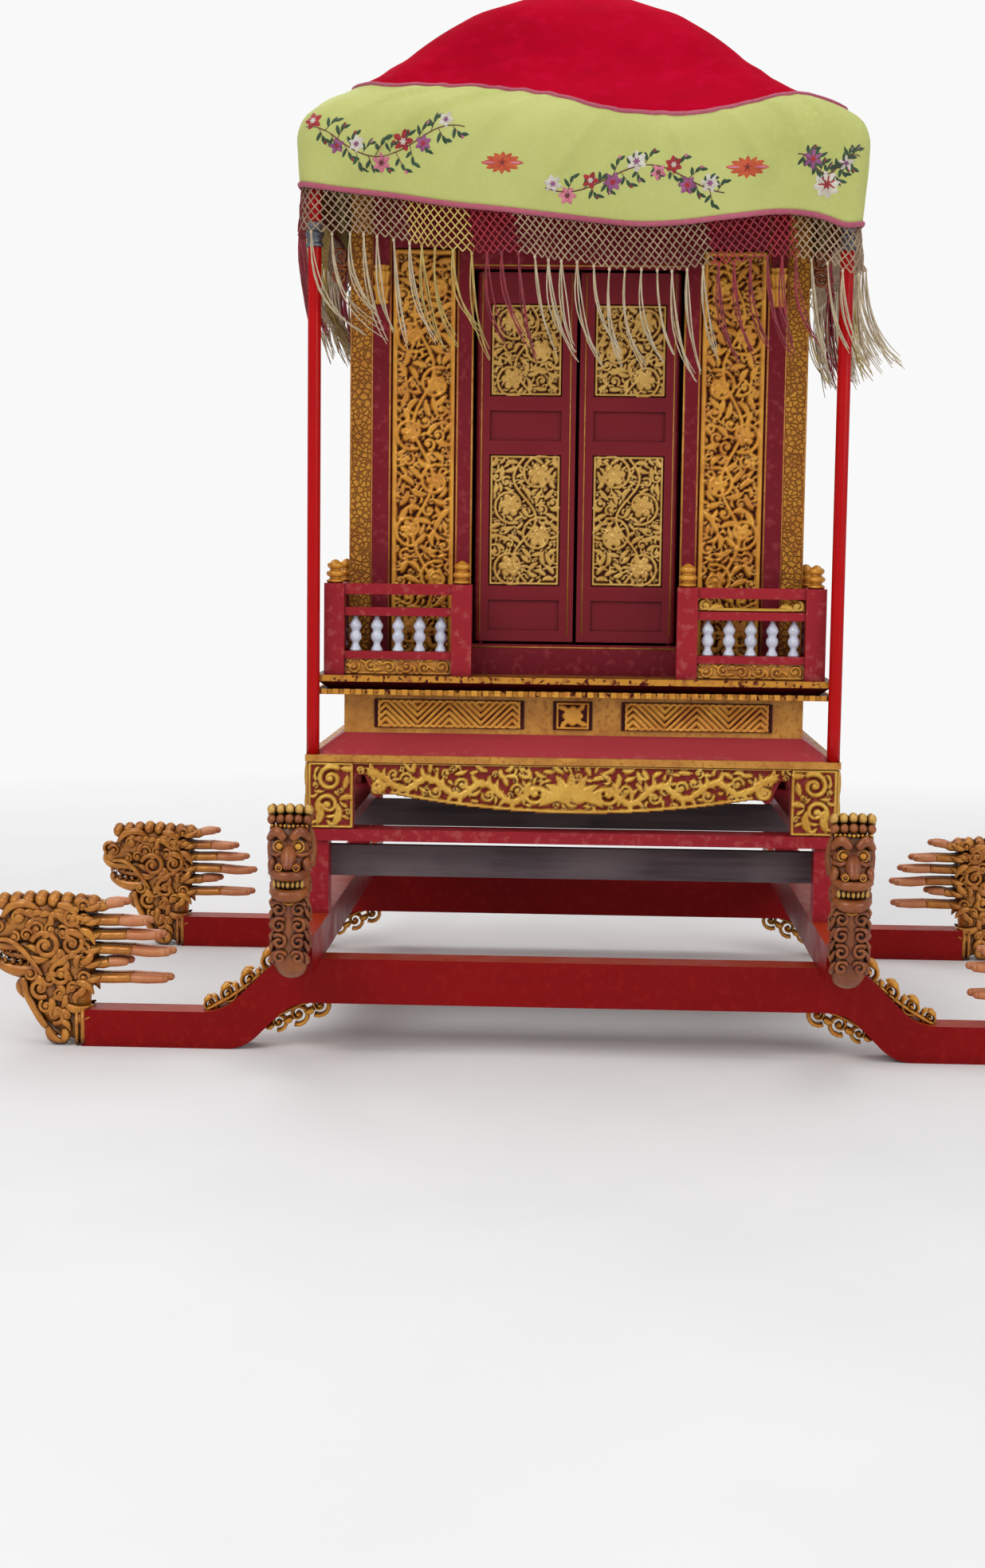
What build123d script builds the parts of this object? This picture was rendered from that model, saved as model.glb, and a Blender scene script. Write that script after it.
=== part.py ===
from build123d import *
import math
import os

os.makedirs("parts", exist_ok=True)

# Frame: X to the right seen from the front, Y to the rear, Z up, floor at zero.
# All sizes in millimetres. "Half" sizes run from the middle plane.

# Table, which sets the plan of everything else
TABLE_HALF_X = 446.0
TABLE_HALF_Y = 404.0
TABLE_LIP = 4.0
LEG_FACE = 78.0
LEG_THICK = 20.0
LEG_TALL = 114.0
APRON_THICK = 16.0
APRON_INSET = 3.0
APRON_DROP = 82.0
APRON_SHOULDER = 54.0
APRON_NOTCH = 22.0
APRON_CURL = 11.0
APRON_EDGE = 66.0
SLAB_THICK = 12.0
SLAB_RING = 80.0
SKIRT_INSET = 8.0
SKIRT_TALL = 34.0
WAIST_INSET = 56.0
WAIST_WALL = 20.0
WAIST_TALL = 67.0
PANEL_PROUD = 3.0
PANEL_TALL = 48.0
PANEL_SMALL = 66.0
PANEL_GAP = 50.0
PANEL_MARGIN = 52.0
CORNICE_INSET = 10.0
CORNICE_STEP = 6.0
CORNICE_COVE = 22.0
CORNICE_LOW_BAND = 9.0
CORNICE_TALL = 33.0
DECK_THICK = 11.0

# Cross beams, bent down outside the table, and the runners that lie on them
BEAM_STAND_OFF = 71.0
BEAM_THICK = 60.0
BEAM_TALL = 75.0
BEAM_RISE = 81.0
BELLY_TALL = 62.0
BEND_GAP = 8.0
BEND_RUN = 94.0
BEND_UNDER_SHIFT = 22.0
BEND_UNDER_RUN = 81.0
BEND_RADIUS = 75.0
BELLY_RUN = 237.0
CURL_RADIUS = 24.0
CURL_RUN = 102.0
CURL_DROP = 66.0
RUNNER_INSET = 5.0
RUNNER_WIDE = 64.0
RUNNER_TALL = 60.0
RUNNER_OVERHANG = 165.0

# Dragon heads on the beam ends, dragon faces and tails on the runner ends
HEAD_LONG = 173.0
HEAD_TALL = 262.0
HEAD_HALF = 24.0
CHEEK_HALF = 29.0
MANE_LONG = 151.0
MANE_BACK = 12.0
MANE_ROOT = 10.0
MANE_TIP = 3.5
MANE_SUNK = 4.0
MANE_HALF = 8.0
FACE_LONG = 72.0
FACE_TALL = 284.0
FACE_HALF = 24.0
FACE_CHEEK_HALF = 34.0
TAIL_LONG = 64.0
TAIL_TALL = 244.0

# Under frame between the runners and the table
POST_SIDE = 44.0
POST_INSET_X = 14.0
POST_INSET_Y = 24.0
POST_TALL = 125.0
FOOT_WIDE = 60.0
FOOT_TALL = 20.0
BOARD_THICK = 20.0
BOARD_TALL = 53.0
BOARD_DROP = 13.0

# Canopy poles
POLE_INSET = 8.0
POLE_RADIUS = 11.0
POLE_CLEAR = 0.2
CAP_DROP = 217.0
CAP_TALL = 40.0
CAP_RADIUS = 18.0
CAP_HEAD_SHARE = 0.85

# Balustrade
NEWEL_SIDE = 34.0
NEWEL_INSET = 41.0
GATE_HALF = 173.0
SIDE_BAYS = 4
KICK_TALL = 27.0
KICK_DEEP = 14.0
RAIL_DEEP = 24.0
LOW_RAIL = 13.0
BALUSTER_TALL = 60.0
BALUSTER_RADIUS = 10.5
BALUSTER_STEP = 37.0
MID_RAIL = 14.0
RAIL_GAP = 22.0
TOP_RAIL = 18.0
FINIAL_TALL = 40.0
FINIAL_RADIUS = 15.0

# Cabinet
STRIP_CLEAR = 2.0
WALK_DEEP = 41.0
BASE_THICK = 19.0
COLUMN_SIDE = 35.0
STRIP_WIDE = 34.0
STRIP_THICK = 15.0
DOOR_HALF = 178.0
JAMB_WIDE = 29.0
FRAME_THICK = 28.0
SILL_TALL = 33.0
DOORWAY_TALL = 633.0
LINTEL_TALL = 34.0
FRIEZE_TALL = 96.0
FRIEZE_THICK = 20.0
FRONT_PANEL_THICK = 14.0
FRONT_PANEL_SETBACK = 5.0
WALL_THICK = 16.0
FLOOR_THICK = 6.0
FLOOR_CLEAR = 2.0
ROOF_THICK = 18.0
ROOF_LIP = 6.0
CAPITAL_DROP = 191.0
CAPITAL_TALL = 65.0
CAPITAL_RADIUS = 17.0
SCROLL_DROP = 126.0
SCROLL_WIDE = 39.0
SCROLL_TALL = 76.0
SCROLL_SETBACK = 3.0

# Door leaves
LEAF_THICK = 22.0
LEAF_GAP = 5.0
MEET_GAP = 6.0
PIN_RADIUS = 5.0
PIN_CLEAR = 0.1
PIN_DEEP = 12.0
PIN_END_GAP = 0.2
STILE_PIVOT_SIDE = 13.0
STILE_MEET_SIDE = 24.0
FIELD_DEEP = 5.0
CARVING_THICK = 10.0

# Canopy
HEM_HEIGHT = 1392.0
VALANCE_TALL = 193.0
CANOPY_OVER = 23.0
CLOTH = 3.0
CLOTH_GAP = 0.3
RING_WIDE = 36.0
RING_TALL = 20.0
RING_CORNER = 20.0
RIB_WIDE = 16.0
RIB_CLEAR = 12.0
RIB_DROP = 10.0
NET_TALL = 66.0
TASSEL_TALL = 200.0
TASSEL_WIDE = 6.0
TASSEL_STEP = 70.0
FRINGE_THICK = 2.0

# Heights of the seats, from the floor up
BEAM_TOP = BEAM_RISE + BEAM_TALL
RUNNER_TOP = BEAM_TOP + RUNNER_TALL
FOOT_LOW = RUNNER_TOP + POST_TALL
FOOT_TOP = FOOT_LOW + FOOT_TALL
LEG_TOP = FOOT_TOP + LEG_TALL
SLAB_TOP = LEG_TOP + SLAB_THICK
WAIST_LOW = SLAB_TOP + SKIRT_TALL
WAIST_TOP = WAIST_LOW + WAIST_TALL
DECK_TOP = WAIST_TOP + CORNICE_TALL
KICK_TOP = DECK_TOP + KICK_TALL
LOW_RAIL_TOP = KICK_TOP + LOW_RAIL
MID_RAIL_LOW = LOW_RAIL_TOP + BALUSTER_TALL
MID_RAIL_TOP = MID_RAIL_LOW + MID_RAIL
TOP_RAIL_LOW = MID_RAIL_TOP + RAIL_GAP
NEWEL_TOP = TOP_RAIL_LOW + TOP_RAIL
BASE_TOP = DECK_TOP + BASE_THICK
SILL_TOP = BASE_TOP + SILL_TALL
LINTEL_LOW = SILL_TOP + DOORWAY_TALL
LINTEL_TOP = LINTEL_LOW + LINTEL_TALL
WALL_TOP = LINTEL_TOP + FRIEZE_TALL
CAPITAL_LOW = WALL_TOP - CAPITAL_DROP
SCROLL_MIDDLE = WALL_TOP - SCROLL_DROP
VALANCE_TOP = HEM_HEIGHT + VALANCE_TALL
RING_LOW = VALANCE_TOP - RING_TALL
CAP_LOW = VALANCE_TOP - CAP_DROP - CAP_TALL

# Places in plan
BEAM_Y = TABLE_HALF_Y + BEAM_STAND_OFF
RUNNER_X = TABLE_HALF_X - RUNNER_INSET
RUNNER_HALF = BEAM_Y + RUNNER_OVERHANG
BEND_START = RUNNER_X + RUNNER_WIDE / 2 + BEND_GAP
BEND_STOP = BEND_START + BEND_RUN
BEND_UNDER_START = BEND_START - BEND_UNDER_SHIFT
BEND_UNDER_STOP = BEND_UNDER_START + BEND_UNDER_RUN
BEAM_END = BEND_STOP + BELLY_RUN
POST_X = TABLE_HALF_X - POST_INSET_X
POST_Y = TABLE_HALF_Y - POST_INSET_Y
POLE_X = TABLE_HALF_X - POLE_INSET
POLE_Y = TABLE_HALF_Y - POLE_INSET
WAIST_X = TABLE_HALF_X - WAIST_INSET
WAIST_Y = TABLE_HALF_Y - WAIST_INSET
CORNICE_X = TABLE_HALF_X - CORNICE_INSET
CORNICE_Y = TABLE_HALF_Y - CORNICE_INSET
NEWEL_X = TABLE_HALF_X - NEWEL_INSET
NEWEL_Y = TABLE_HALF_Y - NEWEL_INSET
GATE_NEWEL_X = GATE_HALF + NEWEL_SIDE / 2
CAB_HALF_X = NEWEL_X - NEWEL_SIDE / 2 - STRIP_CLEAR - STRIP_WIDE
CAB_HALF_Y = NEWEL_Y - NEWEL_SIDE / 2 - WALK_DEEP
COLUMN_INNER = CAB_HALF_X - COLUMN_SIDE
STRIP_OUTER = CAB_HALF_X + STRIP_WIDE
FRAME_OUTER = DOOR_HALF + JAMB_WIDE
PIVOT_X = DOOR_HALF - LEAF_GAP - LEAF_THICK / 2
PIVOT_Y = CAB_HALF_Y - FRAME_THICK + LEAF_THICK / 2
RING_X = POLE_X + CANOPY_OVER
RING_Y = POLE_Y + CANOPY_OVER

MIDDLE_LOW = (Align.CENTER, Align.CENTER, Align.MIN)
MIDDLE_HIGH = (Align.CENTER, Align.CENTER, Align.MAX)
FACETS = 6
FACET_FLAT = math.cos(math.pi / FACETS)
corners = [(sx, sy) for sx in (-1, 1) for sy in (-1, 1)]


def scaled(rows, start, foot, length, height):
    """Points from rows of two shares: length out from the start, height over the foot."""
    return [(start + out * length, foot + up * height) for out, up in rows]


# Carrying beams
with BuildPart() as front_beam:
    # Side view: level in the middle, bent down outside the table, square at the tips
    with BuildSketch(Plane.XZ.offset(BEAM_Y)):
        with BuildLine():
            FilletPolyline(
                (-BEAM_END, 0),
                (-BEND_UNDER_STOP, 0),
                (-BEND_UNDER_START, BEAM_RISE),
                (BEND_UNDER_START, BEAM_RISE),
                (BEND_UNDER_STOP, 0),
                (BEAM_END, 0),
                (BEAM_END, BELLY_TALL),
                (BEND_STOP, BELLY_TALL),
                (BEND_START, BEAM_TOP),
                (-BEND_START, BEAM_TOP),
                (-BEND_STOP, BELLY_TALL),
                (-BEAM_END, BELLY_TALL),
                radius=[bent * BEND_RADIUS for bent in (0, 1, 1, 1, 1, 0, 0, 1, 1, 1, 1, 0)],
                close=True,
            )
        make_face()
    extrude(amount=BEAM_THICK / 2, both=True)


def beam_scrolls():
    """Gilded curls over and under each bend, cut to the beam that they lie against."""
    # One row per curl: shares of the run and the drop, then its radius as a share
    over_bend = (
        (0.16, 0.15, 1.0),
        (0.51, 0.64, 0.92),
        (0.86, 1.0, 0.83),
        (1.16, 1.3, 0.67),
    )
    under_bend = (
        (-0.43, 0.12, 0.83),
        (-0.08, 0.36, 0.83),
        (0.25, 0.58, 0.67),
    )
    curls = [
        (start + run * CURL_RUN, head - drop * CURL_DROP, share * CURL_RADIUS)
        for rows, start, head in (
            (over_bend, BEND_START, BEAM_TOP),
            (under_bend, BEND_UNDER_START, BEAM_RISE),
        )
        for run, drop, share in rows
    ]
    with BuildPart() as scrolls:
        with BuildSketch(Plane.XZ.offset(BEAM_Y)):
            for side in (-1, 1):
                for x, z, radius in curls:
                    with Locations((side * x, z)):
                        RegularPolygon(radius, 8)
            for side in (-1, 1):
                for x, z, radius in curls:
                    with Locations((side * x, z)):
                        RegularPolygon(0.28 * radius, 4, mode=Mode.SUBTRACT)
        extrude(amount=BEAM_THICK / 3, both=True)
    return scrolls.part


def beam_dragon():
    """Head on the right end of the front beam: open jaws outwards, mane swept back inwards."""
    # Throat, chin, lower lip, mouth, upper lip, nose, brow and crown, as shares of the head
    profile = (
        (0, 0),
        (0.173, 0.023),
        (0.358, 0.13),
        (0.486, 0.313),
        (0.613, 0.427),
        (0.832, 0.473),
        (0.867, 0.55),
        (0.647, 0.611),
        (0.925, 0.649),
        (1.0, 0.725),
        (0.971, 0.824),
        (0.763, 0.847),
        (0.671, 0.931),
        (0.509, 1.0),
        (0.208, 0.985),
        (0, 0.939),
    )
    # One row per mane spike: root height, reach and tip height, as shares
    spikes = (
        (0.893, 0.49, 0.916),
        (0.802, 0.748, 0.798),
        (0.71, 0.894, 0.71),
        (0.618, 1.0, 0.603),
        (0.527, 0.53, 0.538),
        (0.431, 0.974, 0.431),
    )
    # One row per swelling: eye, cheek and nostril, with its radius
    swellings = ((0.36, 0.75, 0.197), (0.23, 0.5, 0.15), (0.88, 0.755, 0.075))
    root_x = BEAM_END - MANE_BACK
    with BuildPart() as head:
        with BuildSketch(Plane.XZ.offset(BEAM_Y)):
            with BuildLine():
                Polyline(
                    *scaled(profile, BEAM_END, 0, HEAD_LONG, HEAD_TALL),
                    (root_x, 0.89 * HEAD_TALL),
                    (root_x, BELLY_TALL),
                    (BEAM_END, BELLY_TALL),
                    close=True,
                )
            make_face()
        extrude(amount=HEAD_HALF, both=True)
        with BuildSketch(Plane.XZ.offset(BEAM_Y)):
            for out, up, radius in swellings:
                with Locations((BEAM_END + out * HEAD_LONG, up * HEAD_TALL)):
                    RegularPolygon(radius * HEAD_LONG, 10)
        extrude(amount=CHEEK_HALF, both=True)
        with BuildSketch(Plane.XZ.offset(BEAM_Y)):
            for up_root, reach, up_tip in spikes:
                root_z = up_root * HEAD_TALL
                tip_x = BEAM_END - reach * MANE_LONG
                tip_z = up_tip * HEAD_TALL
                with BuildLine():
                    Polyline(
                        (root_x + MANE_SUNK, root_z + MANE_ROOT),
                        (tip_x, tip_z + MANE_TIP),
                        (tip_x, tip_z - MANE_TIP),
                        (root_x + MANE_SUNK, root_z - MANE_ROOT),
                        close=True,
                    )
                make_face()
        extrude(amount=MANE_HALF, both=True)
    return head.part


with BuildPart() as left_runner:
    with Locations((-RUNNER_X, 0, BEAM_TOP)):
        Box(RUNNER_WIDE, 2 * RUNNER_HALF, RUNNER_TALL, align=MIDDLE_LOW)

# Chest, chin, jaw, snout, brow and crest seen from the side, as shares of the face
face_profile = (
    (0, 0.021),
    (0.333, 0.042),
    (0.583, 0.155),
    (0.694, 0.296),
    (0.917, 0.338),
    (0.75, 0.415),
    (1.0, 0.465),
    (0.917, 0.556),
    (0.694, 0.62),
    (0.778, 0.718),
    (0.583, 0.796),
    (0.528, 0.944),
    (0.222, 1.0),
    (0, 0.958),
)
with BuildPart() as left_dragon_face:
    with BuildSketch(Plane.YZ.offset(-RUNNER_X)):
        with BuildLine():
            Polyline(
                *scaled(face_profile, -RUNNER_HALF, BEAM_TOP, -FACE_LONG, FACE_TALL),
                close=True,
            )
        make_face()
    extrude(amount=FACE_HALF, both=True)
    # Cheeks and crest curls stand out to the sides
    with BuildSketch(Plane.YZ.offset(-RUNNER_X)):
        for out, up, radius in ((0.36, 0.49, 0.088), (0.33, 0.76, 0.07)):
            with Locations((-RUNNER_HALF - out * FACE_LONG, BEAM_TOP + up * FACE_TALL)):
                RegularPolygon(radius * FACE_TALL, 10)
    extrude(amount=FACE_CHEEK_HALF, both=True)

# Root, out along the back of the tail to its tip, and in along the inner side, as shares
tail_profile = (
    (0, 0.025),
    (0.406, 0.049),
    (1.0, 0.459),
    (0.938, 0.803),
    (0.562, 1.0),
    (0.094, 0.91),
    (0.438, 0.811),
    (0.469, 0.615),
    (0.281, 0.402),
    (0, 0.32),
)
with BuildPart() as left_tail:
    with BuildSketch(Plane.YZ.offset(-RUNNER_X)):
        with BuildLine():
            curve = scaled(tail_profile, RUNNER_HALF, BEAM_TOP, TAIL_LONG, TAIL_TALL)
            Line(curve[0], curve[1])
            for i in (1, 3, 5, 7):
                ThreePointArc(curve[i], curve[i + 1], curve[i + 2])
            Line(curve[9], curve[0])
        make_face()
        with Locations((RUNNER_HALF + 0.81 * TAIL_LONG, BEAM_TOP + 0.49 * TAIL_TALL)):
            RegularPolygon(0.31 * TAIL_LONG, 10)
        with Locations((RUNNER_HALF + 0.53 * TAIL_LONG, BEAM_TOP + 0.91 * TAIL_TALL)):
            RegularPolygon(0.09 * TAIL_LONG, 8, mode=Mode.SUBTRACT)
    extrude(amount=FACE_HALF, both=True)


# Under frame
with BuildPart() as stand_posts:
    with Locations([(sx * POST_X, sy * POST_Y, RUNNER_TOP) for sx, sy in corners]):
        Box(POST_SIDE, POST_SIDE, POST_TALL, align=MIDDLE_LOW)

with BuildPart() as stand_boards:
    board_y = POST_Y - POST_SIDE / 2 - BOARD_THICK / 2
    board_high = FOOT_LOW - BOARD_DROP
    with Locations((0, -board_y, board_high), (0, board_y, board_high)):
        Box(2 * POST_X + POST_SIDE - 2 * TABLE_LIP, BOARD_THICK, BOARD_TALL, align=MIDDLE_HIGH)

with BuildPart() as foot_rails:
    with BuildSketch(Plane.XY.offset(FOOT_LOW)):
        Rectangle(2 * (TABLE_HALF_X + TABLE_LIP), 2 * (TABLE_HALF_Y + TABLE_LIP))
        Rectangle(
            2 * (TABLE_HALF_X + TABLE_LIP - FOOT_WIDE),
            2 * (TABLE_HALF_Y + TABLE_LIP - FOOT_WIDE),
            mode=Mode.SUBTRACT,
        )
    extrude(amount=FOOT_TALL)


# Table
with BuildPart() as table_legs:
    for sx, sy in corners:
        with BuildSketch(Plane.XY.offset(FOOT_TOP)):
            with BuildLine():
                Polyline(
                    (sx * TABLE_HALF_X, sy * TABLE_HALF_Y),
                    (sx * (TABLE_HALF_X - LEG_FACE), sy * TABLE_HALF_Y),
                    (sx * (TABLE_HALF_X - LEG_FACE), sy * (TABLE_HALF_Y - LEG_THICK)),
                    (sx * (TABLE_HALF_X - LEG_THICK), sy * (TABLE_HALF_Y - LEG_THICK)),
                    (sx * (TABLE_HALF_X - LEG_THICK), sy * (TABLE_HALF_Y - LEG_FACE)),
                    (sx * TABLE_HALF_X, sy * (TABLE_HALF_Y - LEG_FACE)),
                    close=True,
                )
            make_face()
        extrude(amount=LEG_TALL)


def apron(plane, half):
    """Scalloped board under the slab between two legs, with a curl beside each leg's notch."""
    shoulder = (half - APRON_EDGE, LEG_TOP - APRON_SHOULDER)
    with BuildPart() as board:
        with BuildSketch(plane):
            with BuildLine():
                ThreePointArc(
                    (-shoulder[0], shoulder[1]),
                    (0, LEG_TOP - APRON_DROP),
                    shoulder,
                )
                for side in (-1, 1):
                    Polyline(
                        (side * shoulder[0], shoulder[1]),
                        (side * (half - 0.52 * APRON_EDGE), shoulder[1] - 0.04 * APRON_SHOULDER),
                        (side * (half - 0.27 * APRON_EDGE), LEG_TOP - APRON_NOTCH),
                        (side * (half - 0.09 * APRON_EDGE), LEG_TOP - APRON_NOTCH),
                        (side * half, LEG_TOP - 1.64 * APRON_NOTCH),
                        (side * half, LEG_TOP),
                    )
                Line((-half, LEG_TOP), (half, LEG_TOP))
            make_face()
            for side in (-1, 1):
                with Locations((side * (half - 0.6 * APRON_EDGE), shoulder[1] + 0.5 * APRON_CURL)):
                    RegularPolygon(APRON_CURL, 12)
        extrude(amount=APRON_THICK)
    return board.part


front_apron = apron(
    Plane.XZ.offset(TABLE_HALF_Y - APRON_INSET - APRON_THICK),
    TABLE_HALF_X - LEG_FACE,
)
right_apron = apron(
    Plane.YZ.offset(TABLE_HALF_X - APRON_INSET - APRON_THICK),
    TABLE_HALF_Y - LEG_FACE,
)

with BuildPart() as slab:
    with BuildSketch(Plane.XY.offset(LEG_TOP)):
        Rectangle(2 * (TABLE_HALF_X + TABLE_LIP), 2 * (TABLE_HALF_Y + TABLE_LIP))
        Rectangle(
            2 * (TABLE_HALF_X + TABLE_LIP - SLAB_RING),
            2 * (TABLE_HALF_Y + TABLE_LIP - SLAB_RING),
            mode=Mode.SUBTRACT,
        )
    extrude(amount=SLAB_THICK)

with BuildPart() as skirt:
    with BuildSketch(Plane.XY.offset(SLAB_TOP)):
        Rectangle(2 * (TABLE_HALF_X - SKIRT_INSET), 2 * (TABLE_HALF_Y - SKIRT_INSET))
    with BuildSketch(Plane.XY.offset(WAIST_LOW)):
        Rectangle(2 * WAIST_X, 2 * WAIST_Y)
    loft(ruled=True)
    with BuildSketch(Plane.XY.offset(SLAB_TOP)):
        Rectangle(2 * (WAIST_X - WAIST_WALL), 2 * (WAIST_Y - WAIST_WALL))
    extrude(amount=SKIRT_TALL, mode=Mode.SUBTRACT)
    with Locations([(sx * POLE_X, sy * POLE_Y, SLAB_TOP) for sx, sy in corners]):
        Cylinder(POLE_RADIUS + POLE_CLEAR, SKIRT_TALL, align=MIDDLE_LOW, mode=Mode.SUBTRACT)

with BuildPart() as waist:
    with BuildSketch(Plane.XY.offset(WAIST_LOW)):
        Rectangle(2 * WAIST_X, 2 * WAIST_Y)
        Rectangle(2 * (WAIST_X - WAIST_WALL), 2 * (WAIST_Y - WAIST_WALL), mode=Mode.SUBTRACT)
    extrude(amount=WAIST_TALL)

with BuildPart() as waist_panels:
    panel_z = WAIST_LOW + WAIST_TALL / 2
    for half, across, turned in ((WAIST_X, WAIST_Y, False), (WAIST_Y, WAIST_X, True)):
        wide_from = PANEL_SMALL / 2 + PANEL_GAP
        wide_to = half - PANEL_MARGIN
        for place, length in (
            (-(wide_from + wide_to) / 2, wide_to - wide_from),
            (0, PANEL_SMALL),
            ((wide_from + wide_to) / 2, wide_to - wide_from),
        ):
            for side in (-1, 1):
                out = side * (across + PANEL_PROUD / 2)
                with Locations((out, place, panel_z) if turned else (place, out, panel_z)):
                    Box(
                        PANEL_PROUD if turned else length,
                        length if turned else PANEL_PROUD,
                        PANEL_TALL,
                    )

with BuildPart() as cornice:
    with BuildSketch(Plane.XY.offset(WAIST_TOP)):
        Rectangle(2 * (CORNICE_X - CORNICE_STEP), 2 * (CORNICE_Y - CORNICE_STEP))
    extrude(amount=CORNICE_LOW_BAND)
    with BuildSketch(Plane.XY.offset(WAIST_TOP + CORNICE_LOW_BAND)):
        Rectangle(2 * (CORNICE_X - CORNICE_COVE), 2 * (CORNICE_Y - CORNICE_COVE))
    with BuildSketch(Plane.XY.offset(DECK_TOP - DECK_THICK)):
        Rectangle(2 * (CORNICE_X - CORNICE_STEP), 2 * (CORNICE_Y - CORNICE_STEP))
    loft(ruled=True)
    with BuildSketch(Plane.XY.offset(WAIST_TOP)):
        Rectangle(2 * (WAIST_X - WAIST_WALL), 2 * (WAIST_Y - WAIST_WALL))
    extrude(amount=CORNICE_TALL - DECK_THICK, mode=Mode.SUBTRACT)
    with BuildSketch(Plane.XY.offset(DECK_TOP - DECK_THICK)):
        Rectangle(2 * CORNICE_X, 2 * CORNICE_Y)
    extrude(amount=DECK_THICK)
    with Locations([(sx * POLE_X, sy * POLE_Y, WAIST_TOP) for sx, sy in corners]):
        Cylinder(POLE_RADIUS + POLE_CLEAR, CORNICE_TALL, align=MIDDLE_LOW, mode=Mode.SUBTRACT)


# Balustrade
side_step = 2 * NEWEL_Y / SIDE_BAYS
newel_places = [(sx * NEWEL_X, sy * NEWEL_Y) for sx, sy in corners]
newel_places += [(sx * GATE_NEWEL_X, sy * NEWEL_Y) for sx, sy in corners]
newel_places += [
    (sx * NEWEL_X, i * side_step - NEWEL_Y) for sx in (-1, 1) for i in range(1, SIDE_BAYS)
]

front_bays = [(sx * (GATE_NEWEL_X + NEWEL_X) / 2, sy * NEWEL_Y) for sx, sy in corners]
side_bays = [
    (sx * NEWEL_X, (i + 0.5) * side_step - NEWEL_Y) for sx in (-1, 1) for i in range(SIDE_BAYS)
]

# One row per kind of bay: middles, clear length, whether it runs along x
bay_kinds = (
    (front_bays, NEWEL_X - GATE_NEWEL_X - NEWEL_SIDE, True),
    ([(0, NEWEL_Y)], 2 * GATE_NEWEL_X - NEWEL_SIDE, True),
    (side_bays, side_step - NEWEL_SIDE, False),
)


def bay_bars(bars):
    """A bar in every bay for each row of foot, head and depth."""
    with BuildPart() as placed:
        for middles, length, along_x in bay_kinds:
            for foot, head, deep in bars:
                with Locations([(x, y, foot) for x, y in middles]):
                    Box(
                        length if along_x else deep,
                        deep if along_x else length,
                        head - foot,
                        align=MIDDLE_LOW,
                    )
    return placed.part


def turned(levels, height, radius):
    """Turned piece in flat facets, from rows of height and radius, each as a share."""
    right = [(wide * radius * FACET_FLAT, level * height) for level, wide in levels]
    left = [(-x, z) for x, z in reversed(right)]
    with BuildPart() as piece:
        for i in range(FACETS // 2):
            turn = math.pi * (2 * i + 1) / FACETS
            across = (math.cos(turn), math.sin(turn), 0)
            along = (math.sin(turn), -math.cos(turn), 0)
            with BuildSketch(Plane((0, 0, 0), x_dir=across, z_dir=along)):
                with BuildLine():
                    Polyline(*right, *left, close=True)
                make_face()
            extrude(amount=2 * radius, both=True, mode=Mode.INTERSECT if i else Mode.ADD)
    return piece.part


with BuildPart() as newels:
    with Locations([(x, y, DECK_TOP) for x, y in newel_places]):
        Box(NEWEL_SIDE, NEWEL_SIDE, NEWEL_TOP - DECK_TOP, align=MIDDLE_LOW)

# Foot ring, neck, bulb and button
finial_levels = (
    (0, 0.85),
    (0.28, 0.55),
    (0.45, 1.0),
    (0.7, 1.0),
    (0.85, 0.45),
    (1.0, 0.3),
)
finial = turned(finial_levels, FINIAL_TALL, FINIAL_RADIUS)
with BuildPart() as finials:
    with Locations([(x, y, NEWEL_TOP) for x, y in newel_places]):
        add(finial)

balustrade_rails = bay_bars(
    (
        (KICK_TOP, LOW_RAIL_TOP, RAIL_DEEP),
        (MID_RAIL_LOW, MID_RAIL_TOP, RAIL_DEEP),
        (TOP_RAIL_LOW, NEWEL_TOP, RAIL_DEEP),
    )
)
kick_strips = bay_bars(((DECK_TOP, KICK_TOP, KICK_DEEP),))

baluster_places = []
for middles, length, along_x in bay_kinds:
    count = round(length / BALUSTER_STEP)
    for i in range(count):
        shift = (i + 0.5) / count * length - length / 2
        for x, y in middles:
            baluster_places.append((x + shift, y) if along_x else (x, y + shift))

# Foot, waist, belly, neck and lip of the vase
baluster_levels = ((0, 0.9), (0.12, 0.45), (0.42, 1.0), (0.8, 0.5), (1.0, 0.85))
baluster = turned(baluster_levels, BALUSTER_TALL, BALUSTER_RADIUS)
with BuildPart() as balusters:
    with Locations([(x, y, LOW_RAIL_TOP) for x, y in baluster_places]):
        add(baluster)


# Cabinet
with BuildPart() as cabinet_base:
    with Locations((0, 0, DECK_TOP)):
        Box(2 * CAB_HALF_X, 2 * CAB_HALF_Y, BASE_THICK, align=MIDDLE_LOW)
    # Floor board inside the walls, behind the door frame
    floor_half = COLUMN_INNER - FLOOR_CLEAR
    floor_front = FRAME_THICK + FLOOR_CLEAR - CAB_HALF_Y
    floor_rear = CAB_HALF_Y - COLUMN_SIDE - FLOOR_CLEAR
    with Locations((0, (floor_front + floor_rear) / 2, BASE_TOP)):
        Box(2 * floor_half, floor_rear - floor_front, FLOOR_THICK, align=MIDDLE_LOW)

with BuildPart() as columns:
    with Locations(
        [
            (sx * (CAB_HALF_X - COLUMN_SIDE / 2), sy * (CAB_HALF_Y - COLUMN_SIDE / 2), BASE_TOP)
            for sx, sy in corners
        ]
    ):
        Box(COLUMN_SIDE, COLUMN_SIDE, WALL_TOP - BASE_TOP, align=MIDDLE_LOW)

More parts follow.
